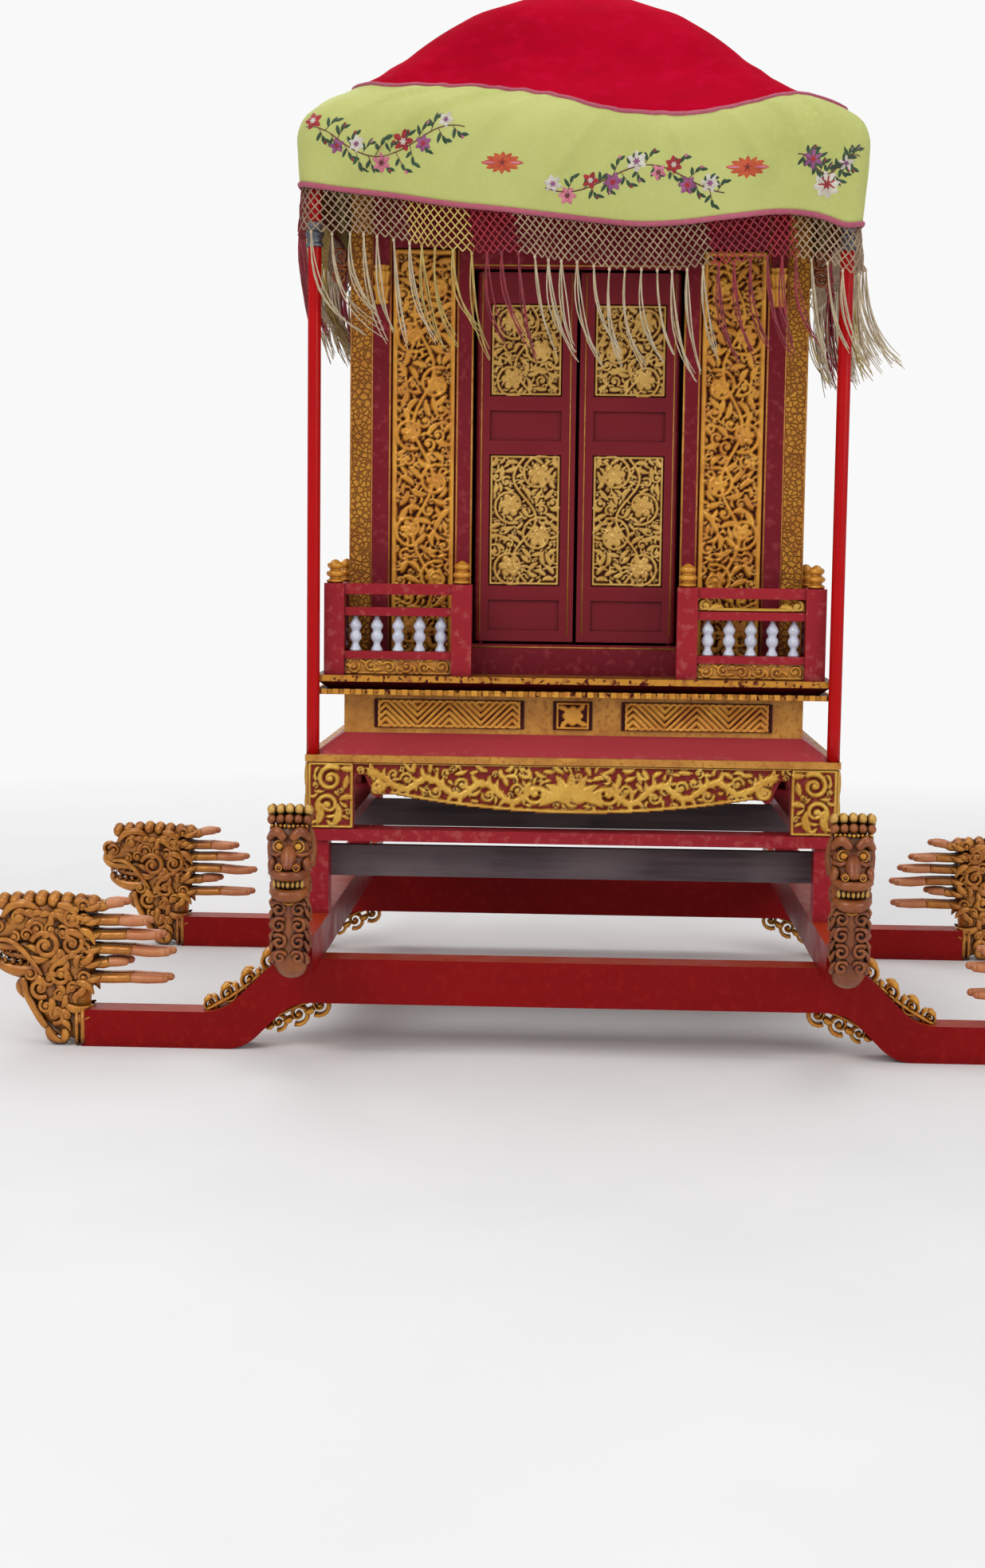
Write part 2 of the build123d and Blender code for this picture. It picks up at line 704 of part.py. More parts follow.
with BuildPart() as pilaster_strips:
    with Locations(
        [
            (sx * (CAB_HALF_X + STRIP_WIDE / 2), sy * (CAB_HALF_Y - STRIP_THICK / 2), DECK_TOP)
            for sx, sy in corners
        ]
    ):
        Box(STRIP_WIDE, STRIP_THICK, WALL_TOP - DECK_TOP, align=MIDDLE_LOW)

with BuildPart() as door_frame:
    with BuildSketch(Plane.XZ.offset(CAB_HALF_Y - FRAME_THICK)):
        with Locations((0, (BASE_TOP + LINTEL_TOP) / 2)):
            Rectangle(2 * FRAME_OUTER, LINTEL_TOP - BASE_TOP)
        with Locations((0, (SILL_TOP + LINTEL_LOW) / 2)):
            Rectangle(2 * DOOR_HALF, DOORWAY_TALL, mode=Mode.SUBTRACT)
    extrude(amount=FRAME_THICK)

pin_holes = []
for sx in (-1, 1):
    for z, align in ((SILL_TOP, MIDDLE_HIGH), (LINTEL_LOW, MIDDLE_LOW)):
        with BuildPart() as pin_hole:
            with Locations((sx * PIVOT_X, -PIVOT_Y, z)):
                Cylinder(PIN_RADIUS + PIN_CLEAR, PIN_DEEP + PIN_END_GAP, align=align)
        pin_holes.append(pin_hole.part)
door_frame_part = door_frame.part - pin_holes

with BuildPart() as left_front_panel:
    with Locations(
        (
            -(FRAME_OUTER + COLUMN_INNER) / 2,
            FRONT_PANEL_SETBACK + FRONT_PANEL_THICK / 2 - CAB_HALF_Y,
            BASE_TOP,
        )
    ):
        Box(
            COLUMN_INNER - FRAME_OUTER,
            FRONT_PANEL_THICK,
            LINTEL_TOP - BASE_TOP,
            align=MIDDLE_LOW,
        )

with BuildPart() as frieze:
    with Locations((0, FRIEZE_THICK / 2 - CAB_HALF_Y, LINTEL_TOP)):
        Box(2 * COLUMN_INNER, FRIEZE_THICK, FRIEZE_TALL, align=MIDDLE_LOW)

with BuildPart() as left_wall:
    with Locations((COLUMN_SIDE / 2 - CAB_HALF_X, 0, BASE_TOP)):
        Box(
            WALL_THICK,
            2 * (CAB_HALF_Y - COLUMN_SIDE),
            WALL_TOP - BASE_TOP,
            align=MIDDLE_LOW,
        )

with BuildPart() as back_wall:
    with Locations((0, CAB_HALF_Y - COLUMN_SIDE / 2, BASE_TOP)):
        Box(2 * COLUMN_INNER, WALL_THICK, WALL_TOP - BASE_TOP, align=MIDDLE_LOW)

with BuildPart() as cabinet_roof:
    with Locations((0, 0, WALL_TOP)):
        Box(
            2 * (STRIP_OUTER + ROOF_LIP),
            2 * (CAB_HALF_Y + ROOF_LIP),
            ROOF_THICK,
            align=MIDDLE_LOW,
        )

# Stacked rings on the column's face, narrow at both ends; only the front half stands proud
capital_levels = (
    (0, 0.55),
    (0.12, 0.85),
    (0.2, 0.7),
    (0.3, 1.0),
    (0.44, 1.0),
    (0.5, 0.75),
    (0.62, 1.0),
    (0.76, 1.0),
    (0.82, 0.75),
    (1.0, 0.8),
)
capital = turned(capital_levels, CAPITAL_TALL, CAPITAL_RADIUS)
with BuildPart() as capitals:
    with Locations(
        [
            (sx * (CAB_HALF_X - COLUMN_SIDE / 2), -CAB_HALF_Y, CAPITAL_LOW)
            for sx in (-1, 1)
        ]
    ):
        add(capital)
    split(bisect_by=Plane.XZ.offset(CAB_HALF_Y), keep=Keep.TOP)

# One row per curl of a corner scroll: out, up and radius, as shares of its width
scroll_curls = (
    (0.23, 0.67, 0.34),
    (0.62, 0.15, 0.42),
    (0.26, -0.46, 0.37),
    (0.67, -0.62, 0.3),
)
with BuildPart() as corner_scrolls:
    with BuildSketch(Plane.XZ.offset(CAB_HALF_Y - STRIP_THICK)):
        for side in (-1, 1):
            for out, up, radius in scroll_curls:
                with Locations(
                    (side * (STRIP_OUTER + out * SCROLL_WIDE), SCROLL_MIDDLE + up * SCROLL_WIDE)
                ):
                    RegularPolygon(radius * SCROLL_WIDE, 10)
            with Locations((side * (STRIP_OUTER - SCROLL_WIDE / 2), SCROLL_MIDDLE)):
                Rectangle(SCROLL_WIDE, SCROLL_TALL + SCROLL_WIDE, mode=Mode.SUBTRACT)
            with Locations(
                (side * (STRIP_OUTER + 0.62 * SCROLL_WIDE), SCROLL_MIDDLE + 0.15 * SCROLL_WIDE)
            ):
                RegularPolygon(0.13 * SCROLL_WIDE, 8, mode=Mode.SUBTRACT)
    extrude(amount=STRIP_THICK - SCROLL_SETBACK)


# Door leaves, each on wooden pins at its outer edge
window_meet = MEET_GAP / 2 + STILE_MEET_SIDE
window_pivot = PIVOT_X - STILE_PIVOT_SIDE
window_x = -(window_meet + window_pivot) / 2
window_wide = window_pivot - window_meet

# One row per field of the leaf: foot and head as shares of the doorway, cut through or not
field_shares = (
    (0.038, 0.12, False),
    (0.158, 0.51, True),
    (0.547, 0.627, False),
    (0.665, 0.91, True),
)
fields = [
    (foot * DOORWAY_TALL, head * DOORWAY_TALL, through) for foot, head, through in field_shares
]

with BuildPart() as left_door:
    with BuildSketch(Plane.XY.offset(SILL_TOP + LEAF_GAP)):
        with Locations((-(PIVOT_X + MEET_GAP / 2) / 2, -PIVOT_Y)):
            Rectangle(PIVOT_X - MEET_GAP / 2, LEAF_THICK)
        with Locations((-PIVOT_X, -PIVOT_Y)):
            Circle(LEAF_THICK / 2)
    extrude(amount=DOORWAY_TALL - 2 * LEAF_GAP)
    with Locations((-PIVOT_X, -PIVOT_Y, SILL_TOP - PIN_DEEP)):
        Cylinder(PIN_RADIUS, DOORWAY_TALL + 2 * PIN_DEEP, align=MIDDLE_LOW)
    for foot, head, through in fields:
        deep = LEAF_THICK if through else FIELD_DEEP
        with Locations((window_x, -PIVOT_Y - LEAF_THICK / 2, SILL_TOP + foot)):
            Box(
                window_wide,
                deep,
                head - foot,
                align=(Align.CENTER, Align.MIN, Align.MIN),
                mode=Mode.SUBTRACT,
            )

with BuildPart() as left_door_carvings:
    for foot, head, through in fields:
        if through:
            with Locations((window_x, -PIVOT_Y, SILL_TOP + foot)):
                Box(window_wide, CARVING_THICK, head - foot, align=MIDDLE_LOW)


# Canopy
with BuildPart() as canopy_poles:
    with Locations([(sx * POLE_X, sy * POLE_Y, SLAB_TOP) for sx, sy in corners]):
        Cylinder(POLE_RADIUS, RING_LOW - SLAB_TOP, align=MIDDLE_LOW)

with BuildPart() as pole_caps:
    cap = turned(((0, 1.0), (1.0, CAP_HEAD_SHARE)), CAP_TALL, CAP_RADIUS)
    with Locations([(sx * POLE_X, sy * POLE_Y, CAP_LOW) for sx, sy in corners]):
        add(cap)
        Cylinder(POLE_RADIUS + POLE_CLEAR, CAP_TALL, align=MIDDLE_LOW, mode=Mode.SUBTRACT)

# One row per level of the dome: rise, share of the plan at its foot, cut at the corners
DOME_LEVELS = (
    (0, 1.0, 20),
    (55, 0.948, 34),
    (105, 0.853, 52),
    (141, 0.733, 62),
    (200, 0.55, 66),
    (253, 0.366, 56),
    (285, 0.172, 34),
    (297, 0.043, 8),
)
DOME_LOW = VALANCE_TOP + CLOTH_GAP
DOME_X = RING_X + CLOTH_GAP + CLOTH
DOME_Y = RING_Y + CLOTH_GAP + CLOTH


def dome_outline(plane, halves):
    """Outline of the dome on an upright plane, with one half width for each level."""
    right = [(half, DOME_LOW + level[0]) for half, level in zip(halves, DOME_LEVELS)]
    left = [(-half, z) for half, z in reversed(right)]
    with BuildSketch(plane) as outline:
        with BuildLine():
            Polyline(*right, *left, close=True)
        make_face()
    return outline.sketch


front_outline = dome_outline(Plane.XZ, [share * DOME_X for rise, share, cut in DOME_LEVELS])
side_outline = dome_outline(Plane.YZ, [share * DOME_Y for rise, share, cut in DOME_LEVELS])
corner_halves = [
    (share * (DOME_X + DOME_Y) - cut) / math.sqrt(2) for rise, share, cut in DOME_LEVELS
]
corner_outlines = [
    dome_outline(Plane((0, 0, 0), x_dir=(1, side, 0), z_dir=(side, -1, 0)), corner_halves)
    for side in (-1, 1)
]

with BuildPart() as canopy_dome:
    # Front, side and both corner outlines, each extruded, and what they all share
    extrude(front_outline, amount=DOME_Y, both=True)
    extrude(side_outline, amount=DOME_X, both=True, mode=Mode.INTERSECT)
    for corner_outline in corner_outlines:
        extrude(corner_outline, amount=DOME_X + DOME_Y, both=True, mode=Mode.INTERSECT)
    # The cloth is a thin shell, open below
    offset(amount=-CLOTH, openings=canopy_dome.faces().sort_by(Axis.Z)[0])

with BuildPart() as canopy_frame:
    with BuildSketch(Plane.XY.offset(RING_LOW)) as ring:
        Rectangle(2 * RING_X, 2 * RING_Y)
        chamfer(ring.vertices(), RING_CORNER)
        Rectangle(2 * (RING_X - RING_WIDE), 2 * (RING_Y - RING_WIDE), mode=Mode.SUBTRACT)
    extrude(amount=RING_TALL)
    # Two arched ribs under the hips of the dome, crossing at the top
    hip = math.hypot(RING_X, RING_Y)
    upper = [
        (share * hip - cut / math.sqrt(2) - RIB_CLEAR, VALANCE_TOP + rise - RIB_DROP)
        for rise, share, cut in DOME_LEVELS[:-1]
    ]
    lower = [(reach - RIB_WIDE, max(z - RIB_WIDE, RING_LOW)) for reach, z in upper]
    for side in (-1, 1):
        along_hip = (RING_X, side * RING_Y, 0)
        with BuildSketch(Plane((0, 0, 0), x_dir=along_hip, z_dir=(side * RING_Y, -RING_X, 0))):
            with BuildLine():
                Polyline(
                    *upper,
                    *[(-reach, z) for reach, z in reversed(upper)],
                    *[(-reach, z) for reach, z in lower],
                    *reversed(lower),
                    close=True,
                )
            make_face()
        extrude(amount=RIB_WIDE / 2, both=True)

with BuildPart() as valance:
    with BuildSketch(Plane.XY.offset(HEM_HEIGHT)) as band:
        Rectangle(2 * (RING_X + CLOTH_GAP + CLOTH), 2 * (RING_Y + CLOTH_GAP + CLOTH))
        chamfer(band.vertices(), RING_CORNER + CLOTH_GAP)
    extrude(amount=VALANCE_TALL)
    with BuildSketch(Plane.XY.offset(HEM_HEIGHT)) as bore:
        Rectangle(2 * (RING_X + CLOTH_GAP), 2 * (RING_Y + CLOTH_GAP))
        chamfer(bore.vertices(), RING_CORNER)
    extrude(amount=VALANCE_TALL, mode=Mode.SUBTRACT)

with BuildPart() as fringe:
    net_low = HEM_HEIGHT - CLOTH_GAP - NET_TALL
    out_x = RING_X + CLOTH_GAP + FRINGE_THICK
    out_y = RING_Y + CLOTH_GAP + FRINGE_THICK
    with BuildSketch(Plane.XY.offset(net_low)) as net:
        Rectangle(2 * out_x, 2 * out_y)
        chamfer(net.vertices(), RING_CORNER)
    extrude(amount=NET_TALL)
    with BuildSketch(Plane.XY.offset(net_low)) as net_bore:
        Rectangle(2 * (out_x - FRINGE_THICK), 2 * (out_y - FRINGE_THICK))
        chamfer(net_bore.vertices(), RING_CORNER)
    extrude(amount=NET_TALL, mode=Mode.SUBTRACT)
    # One row per pair of sides: half length, half distance between the two, along x or not
    for half, across, along_x in ((out_x, out_y, True), (out_y, out_x, False)):
        count = int((half - RING_CORNER - TASSEL_WIDE) / TASSEL_STEP)
        tassels = [
            (i * TASSEL_STEP, side * (across - FRINGE_THICK / 2))
            for side in (-1, 1)
            for i in range(-count, count + 1)
        ]
        with Locations([(a, b, net_low) if along_x else (b, a, net_low) for a, b in tassels]):
            Box(
                TASSEL_WIDE if along_x else FRINGE_THICK,
                FRINGE_THICK if along_x else TASSEL_WIDE,
                TASSEL_TALL,
                align=MIDDLE_HIGH,
            )


# Copies for the other side and the rear
def to_left(part):
    return mirror(part, about=Plane.YZ)


def to_rear(part):
    return mirror(part, about=Plane.XZ)


front_scrolls = beam_scrolls() - front_beam.part
front_right_dragon = beam_dragon()

nodes = {
    "front_beam": front_beam.part,
    "rear_beam": to_rear(front_beam.part),
    "front_right_dragon": front_right_dragon,
    "front_left_dragon": to_left(front_right_dragon),
    "rear_right_dragon": to_rear(front_right_dragon),
    "rear_left_dragon": to_rear(to_left(front_right_dragon)),
    "front_scrolls": front_scrolls,
    "rear_scrolls": to_rear(front_scrolls),
    "left_runner": left_runner.part,
    "right_runner": to_left(left_runner.part),
    "left_dragon_face": left_dragon_face.part,
    "right_dragon_face": to_left(left_dragon_face.part),
    "left_tail": left_tail.part,
    "right_tail": to_left(left_tail.part),
    "stand_posts": stand_posts.part,
    "stand_boards": stand_boards.part,
    "foot_rails": foot_rails.part,
    "table_legs": table_legs.part,
    "front_apron": front_apron,
    "rear_apron": to_rear(front_apron),
    "right_apron": right_apron,
    "left_apron": to_left(right_apron),
    "slab": slab.part,
    "skirt": skirt.part,
    "waist": waist.part,
    "waist_panels": waist_panels.part,
    "cornice": cornice.part,
    "newels": newels.part,
    "finials": finials.part,
    "balustrade_rails": balustrade_rails,
    "kick_strips": kick_strips,
    "balusters": balusters.part,
    "cabinet_base": cabinet_base.part,
    "columns": columns.part,
    "pilaster_strips": pilaster_strips.part,
    "door_frame": door_frame_part,
    "left_front_panel": left_front_panel.part,
    "right_front_panel": to_left(left_front_panel.part),
    "frieze": frieze.part,
    "left_wall": left_wall.part,
    "right_wall": to_left(left_wall.part),
    "back_wall": back_wall.part,
    "cabinet_roof": cabinet_roof.part,
    "capitals": capitals.part,
    "corner_scrolls": corner_scrolls.part,
    "left_door": left_door.part,
    "left_door_carvings": left_door_carvings.part,
    "right_door": to_left(left_door.part),
    "right_door_carvings": to_left(left_door_carvings.part),
    "canopy_poles": canopy_poles.part,
    "pole_caps": pole_caps.part,
    "canopy_frame": canopy_frame.part,
    "canopy_dome": canopy_dome.part,
    "valance": valance.part,
    "fringe": fringe.part,
}

for name, part in nodes.items():
    part.label = name
    export_step(part, "parts/" + name + ".step")
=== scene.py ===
import math
import random
from math import cos, pi, sin, tau

import bpy
import numpy as np
from mathutils import Matrix, Vector


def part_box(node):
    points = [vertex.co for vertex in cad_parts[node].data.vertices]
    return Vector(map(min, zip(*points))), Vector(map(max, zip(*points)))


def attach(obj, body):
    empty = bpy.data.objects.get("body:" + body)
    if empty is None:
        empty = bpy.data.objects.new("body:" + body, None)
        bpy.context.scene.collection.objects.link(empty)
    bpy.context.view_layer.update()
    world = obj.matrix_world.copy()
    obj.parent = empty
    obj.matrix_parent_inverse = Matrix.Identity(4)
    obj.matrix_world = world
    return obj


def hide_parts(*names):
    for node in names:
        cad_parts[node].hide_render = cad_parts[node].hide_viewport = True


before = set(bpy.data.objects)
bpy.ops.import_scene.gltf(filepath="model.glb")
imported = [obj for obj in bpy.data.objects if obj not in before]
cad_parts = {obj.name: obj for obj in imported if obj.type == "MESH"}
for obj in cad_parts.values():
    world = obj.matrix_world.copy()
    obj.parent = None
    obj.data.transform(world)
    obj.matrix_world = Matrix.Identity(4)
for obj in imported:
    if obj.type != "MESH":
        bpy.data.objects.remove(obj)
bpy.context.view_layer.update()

chance = random.Random(8092)


def place_camera():
    """The photograph's viewpoint: in front, turned a little to the left, looking slightly down."""
    data = bpy.data.cameras.new("camera")
    data.sensor_fit = "VERTICAL"
    data.sensor_height = 36.0
    data.lens = 52.1
    data.clip_end = 60.0
    camera = bpy.data.objects.new("camera", data)
    bpy.context.scene.collection.objects.link(camera)
    yaw, pitch, roll = (math.radians(angle) for angle in (2.2, 6.1, 0.7))
    ahead = Vector((-sin(yaw) * cos(pitch), cos(yaw) * cos(pitch), -sin(pitch)))
    turn = ahead.to_track_quat("-Z", "Y").to_matrix().to_4x4()
    camera.matrix_world = (
        Matrix.Translation((0.013, -4.205, 0.848)) @ turn @ Matrix.Rotation(roll, 4, "Z")
    )
    bpy.context.scene.camera = camera


place_camera()


# Materials

def rgb(red, green, blue):
    """A screen colour from 0 to 255 as a linear colour."""
    values = []
    for value in (red, green, blue):
        part = value / 255
        values.append(part / 12.92 if part <= 0.04045 else ((part + 0.055) / 1.055) ** 2.4)
    return (*values, 1.0)


class Paint:
    """One procedural material, with short names for the nodes that it needs."""

    def __init__(self, name, rough, metallic=0.0, coat=0.0, sheen=0.0, shine=0.5):
        self.material = bpy.data.materials.new(name)
        self.material.use_nodes = True
        self.tree = self.material.node_tree
        self.shader = self.tree.nodes["Principled BSDF"]
        for key, value in (
            ("Roughness", rough), ("Metallic", metallic), ("Coat Weight", coat), ("Coat Roughness", 0.12),
            ("Sheen Weight", sheen), ("Specular IOR Level", shine),
        ):
            self.shader.inputs[key].default_value = value
        self.place = self.node("TexCoord", "Object")

    def link(self, value, socket):
        """Join an output to a socket, or set the socket to a plain value."""
        if hasattr(value, "is_output"):
            self.tree.links.new(value, socket)
        else:
            socket.default_value = value

    def node(self, kind, output, inputs=None, **settings):
        """Add a node with its settings and inputs, and give one of its outputs."""
        node = self.tree.nodes.new("ShaderNode" + kind)
        for key, value in settings.items():
            setattr(node, key, value)
        for key, value in (inputs or {}).items():
            self.link(value, node.inputs[key])
        return node.outputs[output]

    def noise(self, scale, detail=3.0, stretch=(1, 1, 1), roughness=0.5):
        vector = self.node("Mapping", "Vector", {"Scale": stretch, "Vector": self.place})
        return self.node("TexNoise", "Fac", {
            "Vector": vector, "Scale": scale, "Detail": detail, "Roughness": roughness,
        })

    def cells(self, scale):
        """Distance to the edges of scattered cells."""
        return self.node("TexVoronoi", "Distance", {"Vector": self.place, "Scale": scale},
                         feature="DISTANCE_TO_EDGE")

    def waves(self, scale, distortion, direction):
        return self.node("TexWave", "Fac", {
            "Vector": self.place, "Scale": scale, "Distortion": distortion, "Detail": 1.0,
        }, bands_direction=direction)

    def height(self):
        return self.node("SeparateXYZ", "Z", {0: self.place})

    def facing_up(self):
        return self.node("SeparateXYZ", "Z", {0: self.node("TexCoord", "Normal")})

    def edges(self):
        return self.node("NewGeometry", "Pointiness")

    def occlusion(self, distance):
        return self.node("AmbientOcclusion", "AO", {"Distance": distance}, samples=8)

    def reach(self, value, low, high, to_low=0.0, to_high=1.0):
        """Map a range of values on to another."""
        return self.node("MapRange", "Result", {
            "From Min": low, "From Max": high, "To Min": to_low, "To Max": to_high, "Value": value,
        })

    def times(self, first, second, operation="MULTIPLY"):
        return self.node("Math", "Value", {0: first, 1: second}, operation=operation)

    def mix(self, share, first, second):
        """Blend of two colours."""
        return self.node("Mix", 2, {"Factor": share, 6: first, 7: second}, data_type="RGBA")

    def color(self, value):
        self.link(value, self.shader.inputs["Base Color"])

    def rough(self, value):
        self.link(value, self.shader.inputs["Roughness"])

    def bump(self, height, depth, strength=1.0):
        normal = self.node("Bump", "Normal", {"Strength": strength, "Distance": depth, "Height": height})
        self.link(normal, self.shader.inputs["Normal"])


def darker(colour, share):
    return tuple(part * share for part in colour[:3]) + (1.0,)


def lacquer(name, main, shade, worn, rough=0.38, coat=0.2, trim=None):
    """Brushed lacquer on wood: uneven depth, pale specks, painted shade in the corners and worn edges."""
    paint = Paint(name, rough, coat=coat, shine=0.14)
    cloudy = paint.reach(paint.noise(5, 4), 0.3, 0.75, 0.0, 0.5)
    base = paint.mix(cloudy, main, shade)
    brushed = paint.reach(paint.noise(34, 3, (0.1, 0.1, 1)), 0.4, 0.75, 0.0, 0.25)
    base = paint.mix(brushed, base, shade)
    specks = paint.reach(paint.noise(260, 4, roughness=0.7), 0.72, 0.8, 0, 0.3)
    base = paint.mix(specks, base, worn)
    if trim is not None:
        base = trim(paint, base)
    # Painted shade: ambient occlusion darkens the corners towards a darkened shade colour.
    corners = paint.reach(paint.occlusion(0.03), 0.2, 0.85, 0.5, 0.0)
    base = paint.mix(corners, base, darker(shade, 0.3))
    bare = paint.reach(paint.noise(75, 2), 0.54, 0.68)
    edge = paint.times(paint.reach(paint.edges(), 0.53, 0.6, 0, 0.5), bare)
    paint.color(paint.mix(edge, base, worn))
    paint.rough(paint.reach(paint.noise(18, 3), 0.3, 0.75, rough - 0.06, rough + 0.12))
    paint.bump(paint.noise(90, 4, (1, 1, 0.25)), 0.0004, 0.25)
    return paint.material


def gilding(name, bright, deep, ground, rough=0.36, metallic=0.35, hollows=0.007):
    """Gold leaf on carving: bright on the tops, brown and red ground where the tool went deep, darkened
    further there as painted shade.
    """
    paint = Paint(name, rough, metallic=metallic, coat=0.15)
    patchy = paint.reach(paint.noise(26, 4), 0.36, 0.66, 0, 0.7)
    base = paint.mix(patchy, bright, deep)
    # Painted shade: ambient occlusion mixes in the ground colour, which stands for both the red-brown ground
    # and the shade in the hollows.
    hollow_shade = paint.reach(paint.occlusion(hollows), 0.3, 0.9, 0.95, 0.0)
    base = paint.mix(hollow_shade, base, ground)
    bare = paint.reach(paint.noise(120, 3), 0.52, 0.66)
    rubbed = paint.times(paint.reach(paint.edges(), 0.53, 0.62), bare)
    paint.color(paint.mix(rubbed, base, deep))
    paint.rough(paint.reach(paint.noise(60, 3), 0.3, 0.7, rough - 0.1, rough + 0.2))
    paint.bump(paint.noise(260, 3), 0.0004, 0.5)
    return paint.material


def pounced(name, bright, deep, ground):
    """Gilt board worked all over with a fine worm-like figure; its grooves show the brown ground, darkened
    as painted shade.
    """
    paint = Paint(name, 0.4, metallic=0.5, coat=0.1)
    fine = paint.reach(paint.noise(210, 3), 0.2, 0.7, 0.6, 1.0)
    high = paint.times(paint.reach(paint.cells(115), 0.0, 0.16), fine)
    base = paint.mix(paint.reach(paint.noise(14, 3), 0.3, 0.7), bright, deep)
    # Partly painted shade: the low grooves of the figure take the darker ground colour.
    paint.color(paint.mix(paint.reach(high, 0.0, 0.75, 1.0, 0.0), base, ground))
    paint.rough(paint.reach(high, 0, 1, 0.7, 0.36))
    paint.bump(high, 0.0022, 0.9)
    return paint.material


def cloth(name, main, shade, light, weave, rough, sheen, nap=False):
    """Woven cloth: thread, slow fading, and for velvet a nap that lightens in patches."""
    paint = Paint(name, rough, sheen=sheen, shine=0.03 if nap else 0.08)
    faded = paint.reach(paint.noise(5.5, 3), 0.32, 0.7)
    base = paint.mix(faded, main, shade)
    pile = paint.reach(paint.noise(38 if nap else 120, 4), 0.5, 0.72, 0, 0.45 if nap else 0.25)
    paint.color(paint.mix(pile, base, light))
    woven = paint.times(paint.waves(weave, 0.4, "X"), paint.waves(weave, 0.4, "Z"))
    paint.bump(paint.times(woven, paint.times(paint.noise(30, 4), 2.0), "ADD"), 0.0009, 0.55)
    return paint.material


def timber(name, main, dark, pale):
    """Bare weathered board with long grain along x and grey patches."""
    paint = Paint(name, 0.78)
    grain = paint.noise(42, 6, (0.06, 1, 1), 0.65)
    base = paint.mix(paint.reach(grain, 0.36, 0.62), dark, main)
    paint.color(paint.mix(paint.reach(paint.noise(5, 3), 0.5, 0.75, 0, 0.6), base, pale))
    paint.bump(grain, 0.0012, 0.7)
    return paint.material


def thread(name, main, shade):
    """Twisted yarn, with painted shade in the grooves of the twist."""
    paint = Paint(name, 0.8, sheen=0.3)
    twist = paint.waves(420, 2.0, "DIAGONAL")
    base = paint.mix(paint.reach(paint.noise(60, 3), 0.35, 0.7), main, shade)
    # Painted shade: the low bands of the twist are darkened.
    paint.color(paint.mix(paint.reach(twist, 0.2, 0.8, 0.35, 0), base, darker(shade, 0.55)))
    paint.bump(twist, 0.0004, 0.6)
    return paint.material


def glaze(name, main, shade, worn):
    """Thick white paint on turned wood, chipped, with painted shade greying the hollows."""
    paint = Paint(name, 0.28, coat=0.3)
    base = paint.mix(paint.reach(paint.noise(24, 4), 0.35, 0.7), main, shade)
    # Painted shade: ambient occlusion greys the hollows towards the worn colour.
    base = paint.mix(paint.reach(paint.occlusion(0.012), 0.3, 0.9, 0.6, 0), base, worn)
    chips = paint.reach(paint.noise(140, 4, roughness=0.7), 0.66, 0.72)
    paint.color(paint.mix(chips, base, worn))
    paint.bump(paint.noise(110, 3), 0.0005, 0.5)
    return paint.material


def metal(name, main, dark):
    """Dull cast metal with scratches and grime."""
    paint = Paint(name, 0.42, metallic=0.85)
    paint.color(paint.mix(paint.reach(paint.noise(40, 4), 0.4, 0.7), main, dark))
    paint.rough(paint.reach(paint.noise(90, 4, (1, 1, 0.1)), 0.3, 0.7, 0.3, 0.62))
    paint.bump(paint.noise(200, 3), 0.0004, 0.5)
    return paint.material


BAND_EDGE = 0.0006


def gold_bands(*bands):
    """Gold lines painted between pairs of heights."""
    def trim(paint, base):
        for low, high in bands:
            over = paint.reach(paint.height(), low - BAND_EDGE, low + BAND_EDGE)
            under = paint.reach(paint.height(), high - BAND_EDGE, high + BAND_EDGE, 1, 0)
            worn_off = paint.reach(paint.noise(120, 3), 0.36, 0.46)
            base = paint.mix(paint.times(paint.times(over, under), worn_off), base, rgb(196, 134, 48))
        return base
    return trim


def orange_top(paint, base):
    """Orange paint on the upper side of the beams."""
    return paint.mix(paint.reach(paint.facing_up(), 0.6, 0.85, 0, 0.55), base, rgb(188, 74, 34))


BEAM_RED = lacquer("beam_red", rgb(142, 0, 3), rgb(118, 0, 3), rgb(150, 24, 14), 0.4, 0.02, orange_top)
TABLE_RED = lacquer("table_red", rgb(158, 34, 44), rgb(132, 24, 34), rgb(176, 84, 80), 0.4, 0.05)
SKIRT_RED = lacquer("skirt_red", rgb(174, 60, 66), rgb(150, 46, 54), rgb(196, 110, 100), 0.4, 0.05)
APRON_RED = lacquer("apron_red", rgb(138, 44, 42), rgb(108, 28, 28), rgb(156, 80, 70), 0.6, 0.0)
MAROON = lacquer("cabinet_maroon", rgb(122, 24, 36), rgb(96, 14, 26), rgb(150, 58, 62), 0.36, 0.05)
DOOR_RED = lacquer("door_maroon", rgb(122, 30, 38), rgb(98, 20, 28), rgb(150, 66, 66), 0.38, 0.05)
COVE_RED = lacquer("cove_red", rgb(74, 4, 8), rgb(54, 2, 5), rgb(110, 44, 30), 0.4, 0.05,
                   gold_bands((0.5881, 0.5968), (0.6105, 0.6209)))
GROUND_RED = lacquer("ground_red", rgb(58, 10, 12), rgb(34, 5, 7), rgb(84, 30, 24), 0.6, 0.0)
POLE_RED = lacquer("pole_red", rgb(186, 4, 8), rgb(162, 2, 6), rgb(200, 50, 44), 0.28, 0.1)
